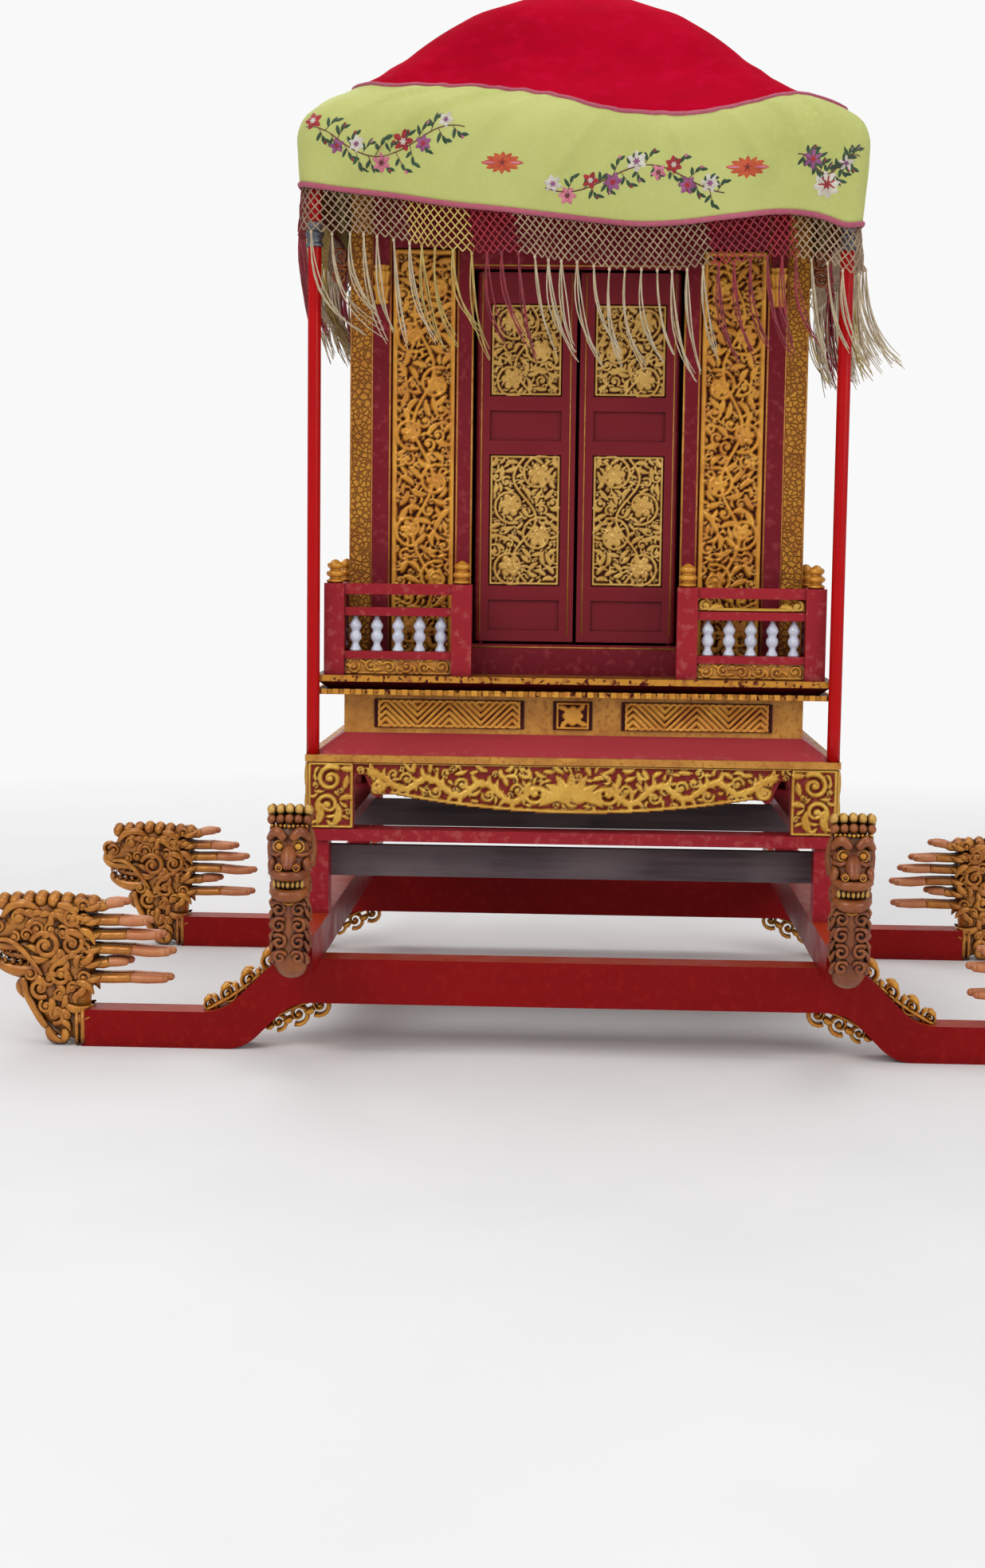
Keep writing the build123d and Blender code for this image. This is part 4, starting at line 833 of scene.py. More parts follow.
class Relief:
    """A carving as heights on a grid: strokes stand up rounded, and the ground is left open."""

    def __init__(self, wide, tall, cell, top=0.006):
        self.wide, self.tall, self.top = wide, tall, top
        self.u = np.linspace(-wide / 2, wide / 2, int(wide / cell) + 1)
        self.v = np.linspace(-tall / 2, tall / 2, int(tall / cell) + 1)
        self.height = np.zeros((len(self.v), len(self.u)))
        self.inside = np.ones_like(self.height, dtype=bool)

    def stroke(self, path, radii, top=1.0, vein=0.0):
        """Raise a rounded ridge along a path; vein cuts a groove down its middle."""
        if isinstance(radii, (int, float)):
            radii = [radii] * len(path)
        for (a, b), (ra, rb) in zip(zip(path, path[1:]), zip(radii, radii[1:])):
            r = max(ra, rb)
            j0, j1 = np.searchsorted(self.u, (min(a[0], b[0]) - r, max(a[0], b[0]) + r))
            i0, i1 = np.searchsorted(self.v, (min(a[1], b[1]) - r, max(a[1], b[1]) + r))
            if j0 >= j1 or i0 >= i1:
                continue
            du = self.u[None, j0:j1] - a[0]
            dv = self.v[i0:i1, None] - a[1]
            run = (b[0] - a[0], b[1] - a[1])
            length = run[0] ** 2 + run[1] ** 2 + 1e-12
            t = np.clip((du * run[0] + dv * run[1]) / length, 0, 1)
            off = np.hypot(du - t * run[0], dv - t * run[1])
            wide = ra + (rb - ra) * t + 1e-6
            rise = top * self.top * np.sqrt(np.clip(1 - (off / wide) ** 2, 0, 1))
            if vein:
                rise = np.where(rise > 0, rise - vein * self.top * np.exp(-((off / (0.22 * wide)) ** 2)), 0)
            part = self.height[i0:i1, j0:j1]
            np.maximum(part, rise, out=part)

    def boss(self, u, v, radius, top):
        self.stroke([(u, v), (u + 1e-5, v)], radius, top)

    def leaf(self, u, v, angle, length, wide, bend=0.5, top=0.9):
        """Pointed leaf with a midrib, from its stalk."""
        path, radii = [], []
        for k in range(8):
            t = k / 7
            turn = angle + bend * t
            path.append((u + length * t * cos(turn), v + length * t * sin(turn)))
            radii.append(wide * sin(pi * (0.12 + 0.85 * t)) ** 0.8 + 0.0004)
        self.stroke(path, radii, top, 0.38)

    def curl(self, u, v, start, radius, turns, thick, top=1.0, hand=1):
        """Scroll that winds in to a boss."""
        path, radii = [], []
        count = int(14 * turns) + 2
        for t, across, up, wide in winding(start, radius, turns, thick, count, hand, 0.78, 1.1, 0.35):
            path.append((u + across, v + up))
            radii.append(wide)
        self.stroke(path, radii, top)
        self.boss(u, v, thick * 1.5, top * 1.1)

    def blossom(self, u, v, radius, petals=6, turn=0.0):
        """Open flower with a raised middle."""
        for k in range(petals):
            angle = turn + tau * k / petals
            out = (u + 0.66 * radius * cos(angle), v + 0.66 * radius * sin(angle))
            self.stroke([(u, v), out], [radius * 0.2, radius * 0.36], 0.85, 0.2)
        self.boss(u, v, radius * 0.3, 1.1)

    def frame(self, wide, top=0.8):
        """Plain border round the board."""
        half_u, half_v = self.wide / 2 - wide, self.tall / 2 - wide
        ring = ((-1, -1), (1, -1), (1, 1), (-1, 1), (-1, -1))
        self.stroke([(half_u * a, half_v * b) for a, b in ring], wide, top)

    def fill(self, size, tries, seed, free=0.42, margin=0.0):
        """Leaves and small curls wherever the ground is still bare."""
        dice = random.Random(seed)
        for _ in range(tries):
            u = dice.uniform(-self.wide / 2 + margin, self.wide / 2 - margin)
            v = dice.uniform(-self.tall / 2 + margin, self.tall / 2 - margin)
            reach = free * size
            j0, j1 = np.searchsorted(self.u, (u - reach, u + reach))
            i0, i1 = np.searchsorted(self.v, (v - reach, v + reach))
            taken = self.height[i0:i1, j0:j1].max(initial=0) > 0.25 * self.top
            if taken or not self.inside[i0:i1, j0:j1].all():
                continue
            angle = 2.4 * sin(u * 43 + seed) + 1.7 * cos(v * 37) + dice.uniform(-0.5, 0.5)
            if dice.random() < 0.24:
                self.curl(u, v, angle, size * 0.46, 1.1, size * 0.13, 0.85, dice.choice((-1, 1)))
            else:
                back = 0.35 * size
                self.leaf(u - back * cos(angle), v - back * sin(angle), angle,
                          size * dice.uniform(0.85, 1.25), size * 0.24, dice.uniform(-0.8, 0.8))

    def piece(self, name, places, paint, body="palanquin"):
        """One mesh of this carving at every place, each an origin with its u, v and outward ways."""
        height = np.where(self.inside, self.height, 0)
        high = np.maximum.reduce([height[:-1, :-1], height[1:, :-1], height[:-1, 1:], height[1:, 1:]])
        rows, cols = np.nonzero(high > GROUND_SHARE * self.top)
        width = len(self.u)
        first = rows * width + cols
        corners = np.stack([first, first + 1, first + width + 1, first + width], axis=1)
        used, faces = np.unique(corners, return_inverse=True)
        faces = faces.reshape(-1, 4)
        u = self.u[used % width]
        v = self.v[used // width]
        h = height.ravel()[used] - SUNK
        verts, polys = [], []
        for origin, along, up, out in places:
            grid = np.array(origin)[None, :] + u[:, None] * np.array(along) + v[:, None] * np.array(up)
            grid = grid + h[:, None] * np.array(out)
            flip = np.dot(np.cross(along, up), out) < 0
            polys.append((faces[:, ::-1] if flip else faces) + sum(len(part) for part in verts))
            verts.append(grid)
        mesh = bpy.data.meshes.new(name)
        mesh.from_pydata(np.concatenate(verts).tolist(), [], np.concatenate(polys).tolist())
        mesh.materials.append(paint)
        mesh.polygons.foreach_set("use_smooth", [True] * len(mesh.polygons))
        mesh.update()
        return settle(bpy.data.objects.new(name, mesh), body, (), "gilt_wood")


RIGHT, AWAY, UP = (1, 0, 0), (0, 1, 0), (0, 0, 1)
LEFT, NEAR = (-1, 0, 0), (0, -1, 0)


def foliage(wide, tall, cell, seed, waves, size, border, top=0.006, tries=1500):
    """Openwork of a winding stem with scrolls, blossoms and leaves in a frame."""
    work = Relief(wide, tall, cell, top)
    work.frame(border, 0.75)
    swing = 0.16 * wide
    path = []
    for k in range(41):
        v = tall * (k / 40 - 0.5) * 0.94
        path.append((swing * sin(tau * waves * k / 40 + seed), v))
    for k in range(int(2 * waves) + 1):
        v = tall * ((k + 0.5) / (2 * waves + 1) - 0.5) * 0.94
        side = 1 if k % 2 else -1
        radius = min(0.27 * wide, 0.3 * tall / (waves + 0.5))
        work.curl(side * 0.2 * wide, v, side * 1.2, radius, 1.25, size * 0.15, 1.0, side)
        work.blossom(side * 0.2 * wide, v, radius * 0.62, 6, k)
    work.stroke(path, size * 0.15, 0.95)
    for step, (share, times) in enumerate(((1.0, 1), (0.7, 1), (0.5, 2), (0.36, 2))):
        work.fill(size * share, tries * times, seed + step, 0.3, border)
    return work


# Door leaves: openwork in both windows, seen from both sides
door_low, door_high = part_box("left_door_carvings")
LEAF_X = abs(door_low[0] + door_high[0]) / 2
LEAF_WIDE = 0.121
for label, low, high, seed, waves in (("lower", 0.7732, 0.9960, 3, 1.5), ("upper", 1.0942, 1.2492, 9, 1.0)):
    tall = high - low - 0.001
    fine = foliage(LEAF_WIDE, tall, 0.00125, seed, waves, 0.0185, 0.0028)
    rough = foliage(LEAF_WIDE, tall, 0.0026, seed, waves, 0.0185, 0.0028, 0.004, 500)
    for side, leaf in ((-1, "left"), (1, "right")):
        for work, title, y, out in (
            (fine, "_door_openwork_", -0.293, NEAR), (rough, "_door_openwork_inner_", -0.283, AWAY),
        ):
            place = ((side * LEAF_X, y, (low + high) / 2), (-side, 0, 0), UP, out)
            work.piece(leaf + title + label, [place], GOLD_PALE, leaf + "_door")

# Tall panels either side of the doors
tall_panel = foliage(0.109, 0.698, 0.0019, 17, 3.5, 0.024, 0.0052, 0.0085, 2600)
tall_panel.piece(
    "front_panel_carving",
    [((side * 0.262, -0.300, 0.990), (-side, 0, 0), UP, NEAR) for side in (-1, 1)], GOLD,
)

# Waist: diagonal fret in the long panels, a rosette in the small ones
WAIST_Z, WAIST_TALL, WAIST_START, FRET_ZONE = 0.5545, 0.046, 0.083, 0.054


def fret(length):
    """Slanting bars that turn at every zone, in a thin frame."""
    work = Relief(length - 0.012, WAIST_TALL, 0.0015, 0.0035)
    work.frame(0.0017)
    zones = int(length / FRET_ZONE)
    for k in range(-zones // 2 - 1, zones // 2 + 2):
        mid = (k + 0.5) * FRET_ZONE
        lean = 1 if k % 2 else -1
        for j in range(-10, 11):
            at = j * 0.0118
            work.stroke([(mid - FRET_ZONE / 2, at - lean * FRET_ZONE / 2),
                         (mid + FRET_ZONE / 2, at + lean * FRET_ZONE / 2)], 0.0030, 0.9)
    return work


def rosette():
    """Flower with a leaf in each corner, in a thin frame."""
    work = Relief(0.056, WAIST_TALL, 0.0014, 0.0035)
    work.frame(0.0017)
    work.blossom(0, 0, 0.017, 8)
    for side, up in ((1, 1), (-1, 1), (-1, -1), (1, -1)):
        work.leaf(0.011 * side, 0.010 * up, math.atan2(up * 0.8, side), 0.014, 0.004, 0.3)
    return work


WAIST_FACES = (
    ("front", 0.338, ((RIGHT, (0, -0.351), NEAR), (LEFT, (0, 0.351), AWAY))),
    ("side", 0.296, ((AWAY, (0.393, 0), RIGHT), (NEAR, (-0.393, 0), LEFT))),
)
for size in ("long", "small"):
    for label, stop, faces in WAIST_FACES:
        shift = (WAIST_START + stop) / 2
        work = fret(stop - WAIST_START) if size == "long" else rosette()
        work.piece("waist_" + size + "_" + label, [
            ((x + along[0] * move, y + along[1] * move, WAIST_Z), along, UP, out)
            for along, (x, y), out in faces
            for move in ((-shift, shift) if size == "long" else (0,))
        ], GOLD)

# Kick strips under the low rails
BAY_X, SIDE_BAY, KICK_Z, KICK_STEP = 0.2975, 0.1815, 0.6345, 0.03
for label, length, places in (
    ("front", 0.181, [
        ((side * BAY_X, y, KICK_Z), along, UP, out)
        for y, along, out in ((-0.370, RIGHT, NEAR), (0.370, LEFT, AWAY)) for side in (-1, 1)
    ]),
    ("side", 0.1475, [
        ((side * 0.412, (k - 1.5) * SIDE_BAY, KICK_Z), (0, side, 0), UP, (side, 0, 0))
        for side in (-1, 1) for k in range(4)
    ]),
    ("rear", 0.346, [((0, 0.370, KICK_Z), LEFT, UP, AWAY)]),
):
    work = Relief(length - 0.004, 0.026, 0.0016, 0.0045)
    count = int(length / KICK_STEP)
    for k in range(count):
        hand = 1 if k % 2 else -1
        work.curl((k + 0.5 - count / 2) * KICK_STEP, 0.001 * hand, 0.6 + k, 0.0105, 1.2, 0.0021, 1.0, hand)
    work.stroke([(-length / 2, -0.011), (length / 2, -0.011)], 0.0016, 0.6)
    work.fill(0.012, 500, 40 + count, 0.4, 0.001)
    work.piece("kick_carving_" + label, places, GOLD)


# Aprons and legs: scrolls and leaves on a red ground
APRON_TOP, APRON_DROP, APRON_SWELL = 0.041, 0.054, 0.028


def apron_carving(half):
    """Scalloped apron carved from the middle outwards with a lotus, a flowing stem and scrolls."""
    work = Relief(2 * half, 2 * APRON_TOP, 0.0021, 0.0085)
    u, v = work.u[None, :], work.v[:, None]
    shoulder = half - 0.066
    down = np.where(
        np.abs(u) < shoulder, APRON_DROP + APRON_SWELL * (1 - (u / shoulder) ** 2), APRON_DROP,
    )
    down = np.where(np.abs(u) > half - 0.024, 0.022, down)
    work.inside = (APRON_TOP - v) < down - 0.001
    work.stroke([
        (x, APRON_TOP - APRON_DROP - APRON_SWELL * (1 - (x / shoulder) ** 2) + 0.003)
        for x in np.linspace(-shoulder, shoulder, 61)
    ], 0.0034, 0.8)
    work.stroke([(-half, 0.039), (half, 0.039)], 0.0022, 0.7)
    # Lotus in the middle with petals opening both ways
    for k in range(-4, 5):
        work.leaf(0.005 * k, -0.016, pi / 2 - 0.34 * k, 0.044 - 0.002 * abs(k), 0.0082, -0.14 * k, 1.0)
    work.blossom(0, -0.004, 0.0125, 7)
    for side in (-1, 1):
        turn = 0 if side > 0 else pi
        work.leaf(0, -0.018, turn - side * 0.35, 0.034, 0.0056, side * 0.7, 0.9)
        work.curl(side * 0.060, -0.008, turn + 1.0 * side, 0.020, 1.35, 0.0038, 1.1, -side)
        # Flowing stem from the lotus to the leg, with leaves and scrolls on both sides
        stem = []
        for k in range(61):
            t = k / 60
            swing = (0.0135 - 0.004 * t) * sin(tau * 3.2 * t + 0.6)
            stem.append((side * (0.040 + (half - 0.072) * t), -0.014 + 0.026 * t + swing))
        work.stroke(stem, [0.0052 - 0.0018 * k / 60 for k in range(61)], 1.0, 0.2)
        for k in range(3, 59, 3):
            (x, z), (next_x, next_z) = stem[k], stem[k + 1]
            along = math.atan2(next_z - z, next_x - x)
            for flip in (-1, 1):
                length = 0.024 + 0.006 * ((k // 3) % 2)
                work.leaf(x, z, along + flip * 0.55, length, 0.0048, -flip * 1.1, 0.95)
        for k in (9, 19, 28, 37, 47, 56):
            x, z = stem[k]
            up = 1 if z < -0.014 + 0.026 * k / 60 else -1
            work.curl(x + side * 0.006, z + up * 0.014, turn, 0.0105, 1.2, 0.0029, 1.05, side * up)
        # Cusp beside the leg
        work.curl(side * (half - 0.044), -0.001, turn + 2.0, 0.0135, 1.3, 0.0036, 1.1, side)
        work.leaf(side * (half - 0.034), 0.012, pi / 2, 0.022, 0.0055, -side * 0.6)
    work.fill(0.017, 900, 77, 0.34, 0.004)
    work.fill(0.011, 900, 78, 0.34, 0.004)
    return work


APRON_Z, LEG_Z = 0.434, 0.418
for label, half, places in (
    ("front", 0.368, (((0, -0.401, APRON_Z), RIGHT, UP, NEAR), ((0, 0.401, APRON_Z), LEFT, UP, AWAY))),
    ("side", 0.326, (((0.443, 0, APRON_Z), AWAY, UP, RIGHT), ((-0.443, 0, APRON_Z), NEAR, UP, LEFT))),
):
    apron_carving(half).piece("apron_carving_" + label, places, GOLD_YELLOW)

leg_work = Relief(0.076, 0.112, 0.0018, 0.0075)
leg_work.frame(0.0022, 0.6)
leg_work.curl(0.0, 0.028, 1.0, 0.022, 1.4, 0.0042, 1.1)
leg_work.curl(-0.004, -0.016, 4.0, 0.020, 1.3, 0.004, 1.0, -1)
leg_work.leaf(-0.022, -0.046, 1.0, 0.036, 0.007, 0.5)
leg_work.leaf(0.006, -0.048, 0.8, 0.034, 0.007, 0.6)
leg_work.fill(0.02, 900, 5, 0.4, 0.003)
leg_work.fill(0.012, 900, 6, 0.42, 0.003)
leg_places = []
for sx in (-1, 1):
    for sy in (-1, 1):
        leg_places.append(((sx * 0.407, sy * 0.404, LEG_Z), (-sx, 0, 0), UP, (0, sy, 0)))
        leg_places.append(((sx * 0.446, sy * 0.365, LEG_Z), (0, -sy, 0), UP, (sx, 0, 0)))
leg_work.piece("leg_carving", leg_places, GOLD_YELLOW)

# Low gilt moulding with a curl at each end, left on the middle rail of the right front bay
moulding = Relief(0.181, 0.026, 0.0016, 0.004)
moulding.stroke([(-0.09, -0.0105), (0.09, -0.0105)], 0.0026, 0.8)
for side in (-1, 1):
    turn = 0 if side > 0 else pi
    moulding.curl(side * 0.078, -0.003, turn + side * 1.2, 0.0095, 1.2, 0.0026, 1.0, -side)
    moulding.leaf(side * 0.068, -0.010, turn + side * 2.2, 0.020, 0.0042, side * 0.7)
    moulding.leaf(side * 0.086, -0.010, turn + side * 1.2, 0.018, 0.0040, side * 0.6)
moulding.piece("rail_moulding", [((BAY_X, -0.3655, 0.748), RIGHT, UP, NEAR)], GOLD_YELLOW)


# Dragon heads, faces, tails and scrolls: carved in the round

BEAM_END, BEAM_Y = 0.812, 0.475
RUNNER_X, RUNNER_END, RUNNER_LOW = 0.441, 0.640, 0.156


class Carved(Shape):
    """Shape with the tools of a dragon carver; every call takes x, z in the side view and y across."""

    def strand(self, path, radii, sides=8, wide=1.0, side_way=(0, 1, 0)):
        """Smooth tube through control points, with matching radii; wide stretches it sideways."""
        path = [Vector(p) for p in path]
        count = len(path)
        line, thick = [], []
        for i in range(count - 1):
            a, b = path[max(i - 1, 0)], path[i]
            c, d = path[i + 1], path[min(i + 2, count - 1)]
            for k in range(4):
                t = k / 4
                line.append(0.5 * (2 * b + (c - a) * t + (2 * a - 5 * b + 4 * c - d) * t**2
                                   + (3 * b - a - 3 * c + d) * t**3))
                thick.append(radii[i] + (radii[i + 1] - radii[i]) * t)
        line.append(path[-1])
        thick.append(radii[-1])
        self.tube(line, [r * wide for r in thick], sides, 1 / wide, side_way=side_way)

    def spiral(self, x, y, z, start, radius, turns, thick, hand=1, lift=0.0, wide=1.0, sides=7):
        """Scroll in the side view that winds in to a boss, its middle lifted outwards."""
        path, radii = [], []
        count = int(13 * turns) + 3
        for t, across, up, r in winding(start, radius, turns, thick, count, hand, full=1.05):
            path.append((x + across, y + lift * t, z + up))
            radii.append(r * wide)
        self.tube(path, radii, sides, 1 / wide, side_way=(0, 1, 0))
        self.ball((x, y + lift, z), (thick * 1.25, thick * 1.25 * wide, thick * 1.25), rings=5, sides=7)

    def flame(self, x, y, z, angle, length, wide, bend=0.7, thick=0.35, out=0.0):
        """Flat pointed lick that curves up from its root."""
        rows = []
        for k in range(7):
            t = k / 6
            turn = angle + bend * t
            middle = Vector((
                x + length * t * cos(turn), y + out * sin(pi * t), z + length * t * sin(turn),
            ))
            half = wide * (sin(pi * (0.18 + 0.8 * t)) ** 0.9) + 0.0004
            turn = angle + bend * k / 6 + 0.5 * bend
            side = Vector((-sin(turn), 0, cos(turn)))
            rows.append([
                middle + side * (cos(a) * half) + Vector((0, sin(a) * half * thick, 0))
                for a in circle(6)
            ])
        self.closed(rows, inside_out=True)


def beam_dragon():
    """Dragon head of the front right beam end: x along the beam, from the end's lower edge."""
    head = Carved()

    def spine(rows, sides, wide):
        """Strand in the middle plane through rows of x, z and radius."""
        head.strand([(x, 0, z) for x, z, r in rows], [r for x, z, r in rows], sides, wide)

    # Neck, chest and skull
    spine([(-0.014, 0.034, 0.031), (0.016, 0.040, 0.034), (0.048, 0.066, 0.036), (0.062, 0.108, 0.037),
           (0.056, 0.150, 0.040), (0.058, 0.196, 0.044)], 16, 0.6)
    head.ball((0.078, 0, 0.204), (0.058, 0.0255, 0.044), rings=12, sides=20)
    head.ball((0.020, 0, 0.150), (0.040, 0.0235, 0.090), rings=10, sides=16)
    head.ball((0.022, 0, 0.085), (0.034, 0.0245, 0.06), rings=10, sides=16)
    # Snout, upper lip curled up at its tip, lower jaw and tongue
    spine([(0.080, 0.198, 0.034), (0.115, 0.188, 0.027), (0.148, 0.184, 0.020), (0.160, 0.192, 0.013)],
          14, 0.72)
    spine([(0.074, 0.164, 0.014), (0.110, 0.166, 0.012), (0.146, 0.166, 0.010), (0.162, 0.178, 0.008),
           (0.158, 0.196, 0.0045)], 12, 1.7)
    spine([(0.056, 0.128, 0.020), (0.092, 0.122, 0.016), (0.124, 0.126, 0.0125), (0.146, 0.138, 0.009),
           (0.148, 0.150, 0.004)], 12, 1.2)
    spine([(0.070, 0.146, 0.010), (0.100, 0.146, 0.009), (0.126, 0.150, 0.0075), (0.140, 0.160, 0.0055),
           (0.134, 0.168, 0.0025)], 10, 1.3)
    # Teeth in both jaws
    for k in range(5):
        x = 0.096 + 0.013 * k
        low = 0.132 + 0.0018 * k
        for y in (-0.012, 0.012):
            head.tube([(x, y, 0.162), (x + 0.001, y, 0.152 - 0.002 * (k == 4))], [0.0042, 0.0012], 6)
            head.tube([(x - 0.004, y, low), (x - 0.003, y, 0.142 + 0.0018 * k)], [0.004, 0.0012], 6)
    head.spiral(0.154, 0, 0.202, -1.2, 0.013, 1.1, 0.0052, 1, wide=2.6)
    for side in (-1, 1):
        y = side * 0.0215
        # Eye in its ring, brow, nostril and ear
        head.ball((0.104, y * 1.02, 0.214), (0.0098, 0.0072, 0.0098), rings=8, sides=12)
        head.spiral(0.104, y * 1.0, 0.214, 2.6, 0.0165, 1.0, 0.0036, -1, 0.002 * side)
        head.strand(
            [(0.070, y * 0.9, 0.226), (0.094, y * 1.05, 0.238), (0.120, y * 1.0, 0.232),
             (0.134, y * 0.8, 0.214)],
            [0.004, 0.0075, 0.0075, 0.004], 8,
        )
        head.spiral(0.143, side * 0.015, 0.197, 0.6, 0.0115, 1.15, 0.0042, 1, 0.003 * side)
        head.flame(0.050, y * 1.08, 0.216, 2.5, 0.046, 0.0115, 0.5)
        # Whisker, then scrolls over the cheek, neck and chest
        head.strand(
            [(0.146, side * 0.017, 0.176), (0.120, side * 0.027, 0.176), (0.098, side * 0.0285, 0.160),
             (0.080, side * 0.027, 0.138), (0.066, side * 0.0265, 0.118)],
            [0.0035, 0.0045, 0.005, 0.0045, 0.0025], 7,
        )
        for x, far, z, begin, radius, turns, thick, hand, lift in (
            (0.060, 1.14, 0.168, 0.3, 0.025, 1.5, 0.0062, 1, 0.003),
            (0.034, 1.12, 0.120, 1.9, 0.021, 1.4, 0.0056, -1, 0.0025),
            (0.070, 1.1, 0.096, 4.0, 0.017, 1.3, 0.005, 1, 0.0025),
            (0.016, 1.12, 0.172, 2.6, 0.018, 1.35, 0.005, 1, 0.0025),
            (0.014, 1.12, 0.214, 2.2, 0.018, 1.3, 0.005, -1, 0.0025),
            (0.044, 1.10, 0.052, 5.0, 0.016, 1.3, 0.0048, -1, 0.0025),
        ):
            head.spiral(x, y * far, z, begin, radius, turns, thick, hand, lift * side)
        for k, (x, z, angle) in enumerate((
            (0.012, 0.084, 3.0), (0.010, 0.106, 2.9), (0.028, 0.070, 4.0), (0.052, 0.080, 4.2),
            (0.050, 0.140, 3.4), (0.030, 0.192, 2.8), (0.074, 0.120, 4.6), (0.004, 0.058, 3.4),
            (0.058, 0.030, 4.6), (0.030, 0.028, 4.2), (0.088, 0.150, 3.9), (0.040, 0.236, 2.9),
            (0.002, 0.140, 3.1), (0.004, 0.196, 3.1),
        )):
            bend = 0.8 if k % 2 else -0.8
            head.flame(x, y * 1.1, z, angle, 0.030 + 0.006 * (k % 3), 0.0078, bend, 0.5, 0.003 * side)
        # Beard down the throat
        head.strand(
            [(0.100, side * 0.014, 0.112), (0.094, side * 0.017, 0.086), (0.080, side * 0.017, 0.058),
             (0.066, side * 0.016, 0.034), (0.044, side * 0.014, 0.014)],
            [0.006, 0.0075, 0.0075, 0.0065, 0.003], 8,
        )
    # Crest: knobs in three rows along the crown, the middle row a little higher
    for k in range(8):
        t = k / 7
        for y, low in ((-0.0125, 0.0035), (0.0125, 0.0035), (0.0, 0.0)):
            knob = (0.134 - 0.150 * t, y, 0.2465 - low - 0.012 * abs(t - 0.45))
            head.ball(knob, (0.0115, 0.0115, 0.0125), rings=7, sides=10)
    # Locks below the crest, small scrolls and licks over the whole side
    for side in (-1, 1):
        for k in range(9):
            head.flame(0.112 - 0.014 * k, side * 0.0235, 0.2225 - 0.0015 * k, 2.5, 0.022, 0.0062,
                       0.5, 0.6, 0.002 * side)
        for x, z, radius, begin, hand in (
            (0.074, 0.196, 0.0125, 0.4, 1), (0.092, 0.186, 0.0105, 3.0, -1), (0.112, 0.182, 0.0085, 1.2, 1),
            (0.052, 0.196, 0.0105, 2.2, -1), (0.030, 0.190, 0.0125, 0.9, 1), (0.036, 0.152, 0.0125, 5.2, 1),
            (0.086, 0.120, 0.0115, 2.0, 1), (0.054, 0.112, 0.0115, 0.2, -1), (0.036, 0.088, 0.0125, 3.3, 1),
            (0.060, 0.066, 0.0115, 1.0, -1), (0.026, 0.050, 0.0105, 4.4, 1), (0.016, 0.098, 0.0095, 2.6, -1),
        ):
            head.spiral(x, side * 0.0245, z, begin, radius, 1.25, 0.0036, hand, 0.003 * side)
        for k in range(26):
            x = 0.006 + 0.092 * ((k * 0.618) % 1.0) * (0.55 + 0.45 * k / 26)
            z = 0.034 + 0.196 * k / 26
            head.flame(x, side * 0.0228, z, 2.2 + 1.1 * sin(k * 2.3), 0.026, 0.0064,
                       0.9 if k % 2 else -0.9, 0.6, 0.0035 * side)
    # Fringe of locks under the jaw
    for k in range(5):
        head.flame(0.104 - 0.016 * k, 0, 0.108 - 0.018 * k, -1.0 - 0.2 * k, 0.034, 0.0088, -0.6, 1.2)
    # Mane: six rows of blunt fingers swept back over the beam, each with a curl at its root
    for z_root, reach, z_tip in (
        (0.234, 0.074, 0.240), (0.210, 0.113, 0.209), (0.186, 0.135, 0.186), (0.162, 0.151, 0.158),
        (0.138, 0.080, 0.141), (0.113, 0.147, 0.113),
    ):
        for y in (-0.0125, 0.0125):
            short = 0.006 if y < 0 else 0.0
            head.paint = 0
            head.strand([(x, y, z_root) for x in (0.016, -0.012, -0.030)],
                        [0.0085, 0.0092, 0.0084], 10, 1.15)
            tip = (-reach + short + 0.004, y * 0.9, z_tip)
            middle = (-0.55 * reach, y, (z_root + z_tip) / 2 + 0.001)
            head.strand([(-0.026, y, z_root), (-0.034 - 0.2 * (reach - 0.074), y, z_root), middle],
                        [0.0082, 0.0084, 0.0082], 10, 1.2)
            head.paint = 1
            head.strand([middle, ((middle[0] + tip[0]) / 2, y * 0.95, z_tip), tip],
                        [0.0082, 0.0082, 0.0066], 10, 1.2)
            head.ball(tip, (0.0072, 0.0078, 0.0066), rings=7, sides=10)
        head.paint = 0
        for side in (-1, 1):
            head.spiral(-0.002, side * 0.0215, z_root + 0.002, 3.6, 0.0115, 1.2, 0.0037, -1, 0.002 * side)
            head.flame(-0.006, side * 0.0225, z_root - 0.004, 3.1, 0.028, 0.0058, -0.3, 0.6, 0.002 * side)
    # Nothing of the head goes under the ground
    head.verts = [(x, y, max(z, 0.0012)) for x, y, z in head.verts]
    # Collar that clasps the end of the beam
    for x, thick in ((-0.002, 0.0042), (0.008, 0.0034)):
        ring = ((-1, 0.0045), (1, 0.0045), (1, 0.061), (-1, 0.061), (-1, 0.0045))
        head.tube([(x, side * 0.0285, z) for side, z in ring], thick, 8)
    return head


dragon = beam_dragon()
for name, sx, sy in (
    ("front_right_dragon", 1, -1), ("front_left_dragon", -1, -1),
    ("rear_right_dragon", 1, 1), ("rear_left_dragon", -1, 1),
):
    change = Matrix.Translation((sx * BEAM_END, sy * BEAM_Y, 0)) @ Matrix.Diagonal((sx, 1, 1, 1))
    dragon.piece(name + "_carved", [DRAGON_GOLD, FINGER], replaces=[name], slot="gilt_wood", change=change)


def face_point(out, up, across=0.0):
    """Point before the front end of a runner: out from its end face and up from its underside."""
    return (across, -RUNNER_END - out, RUNNER_LOW + up)


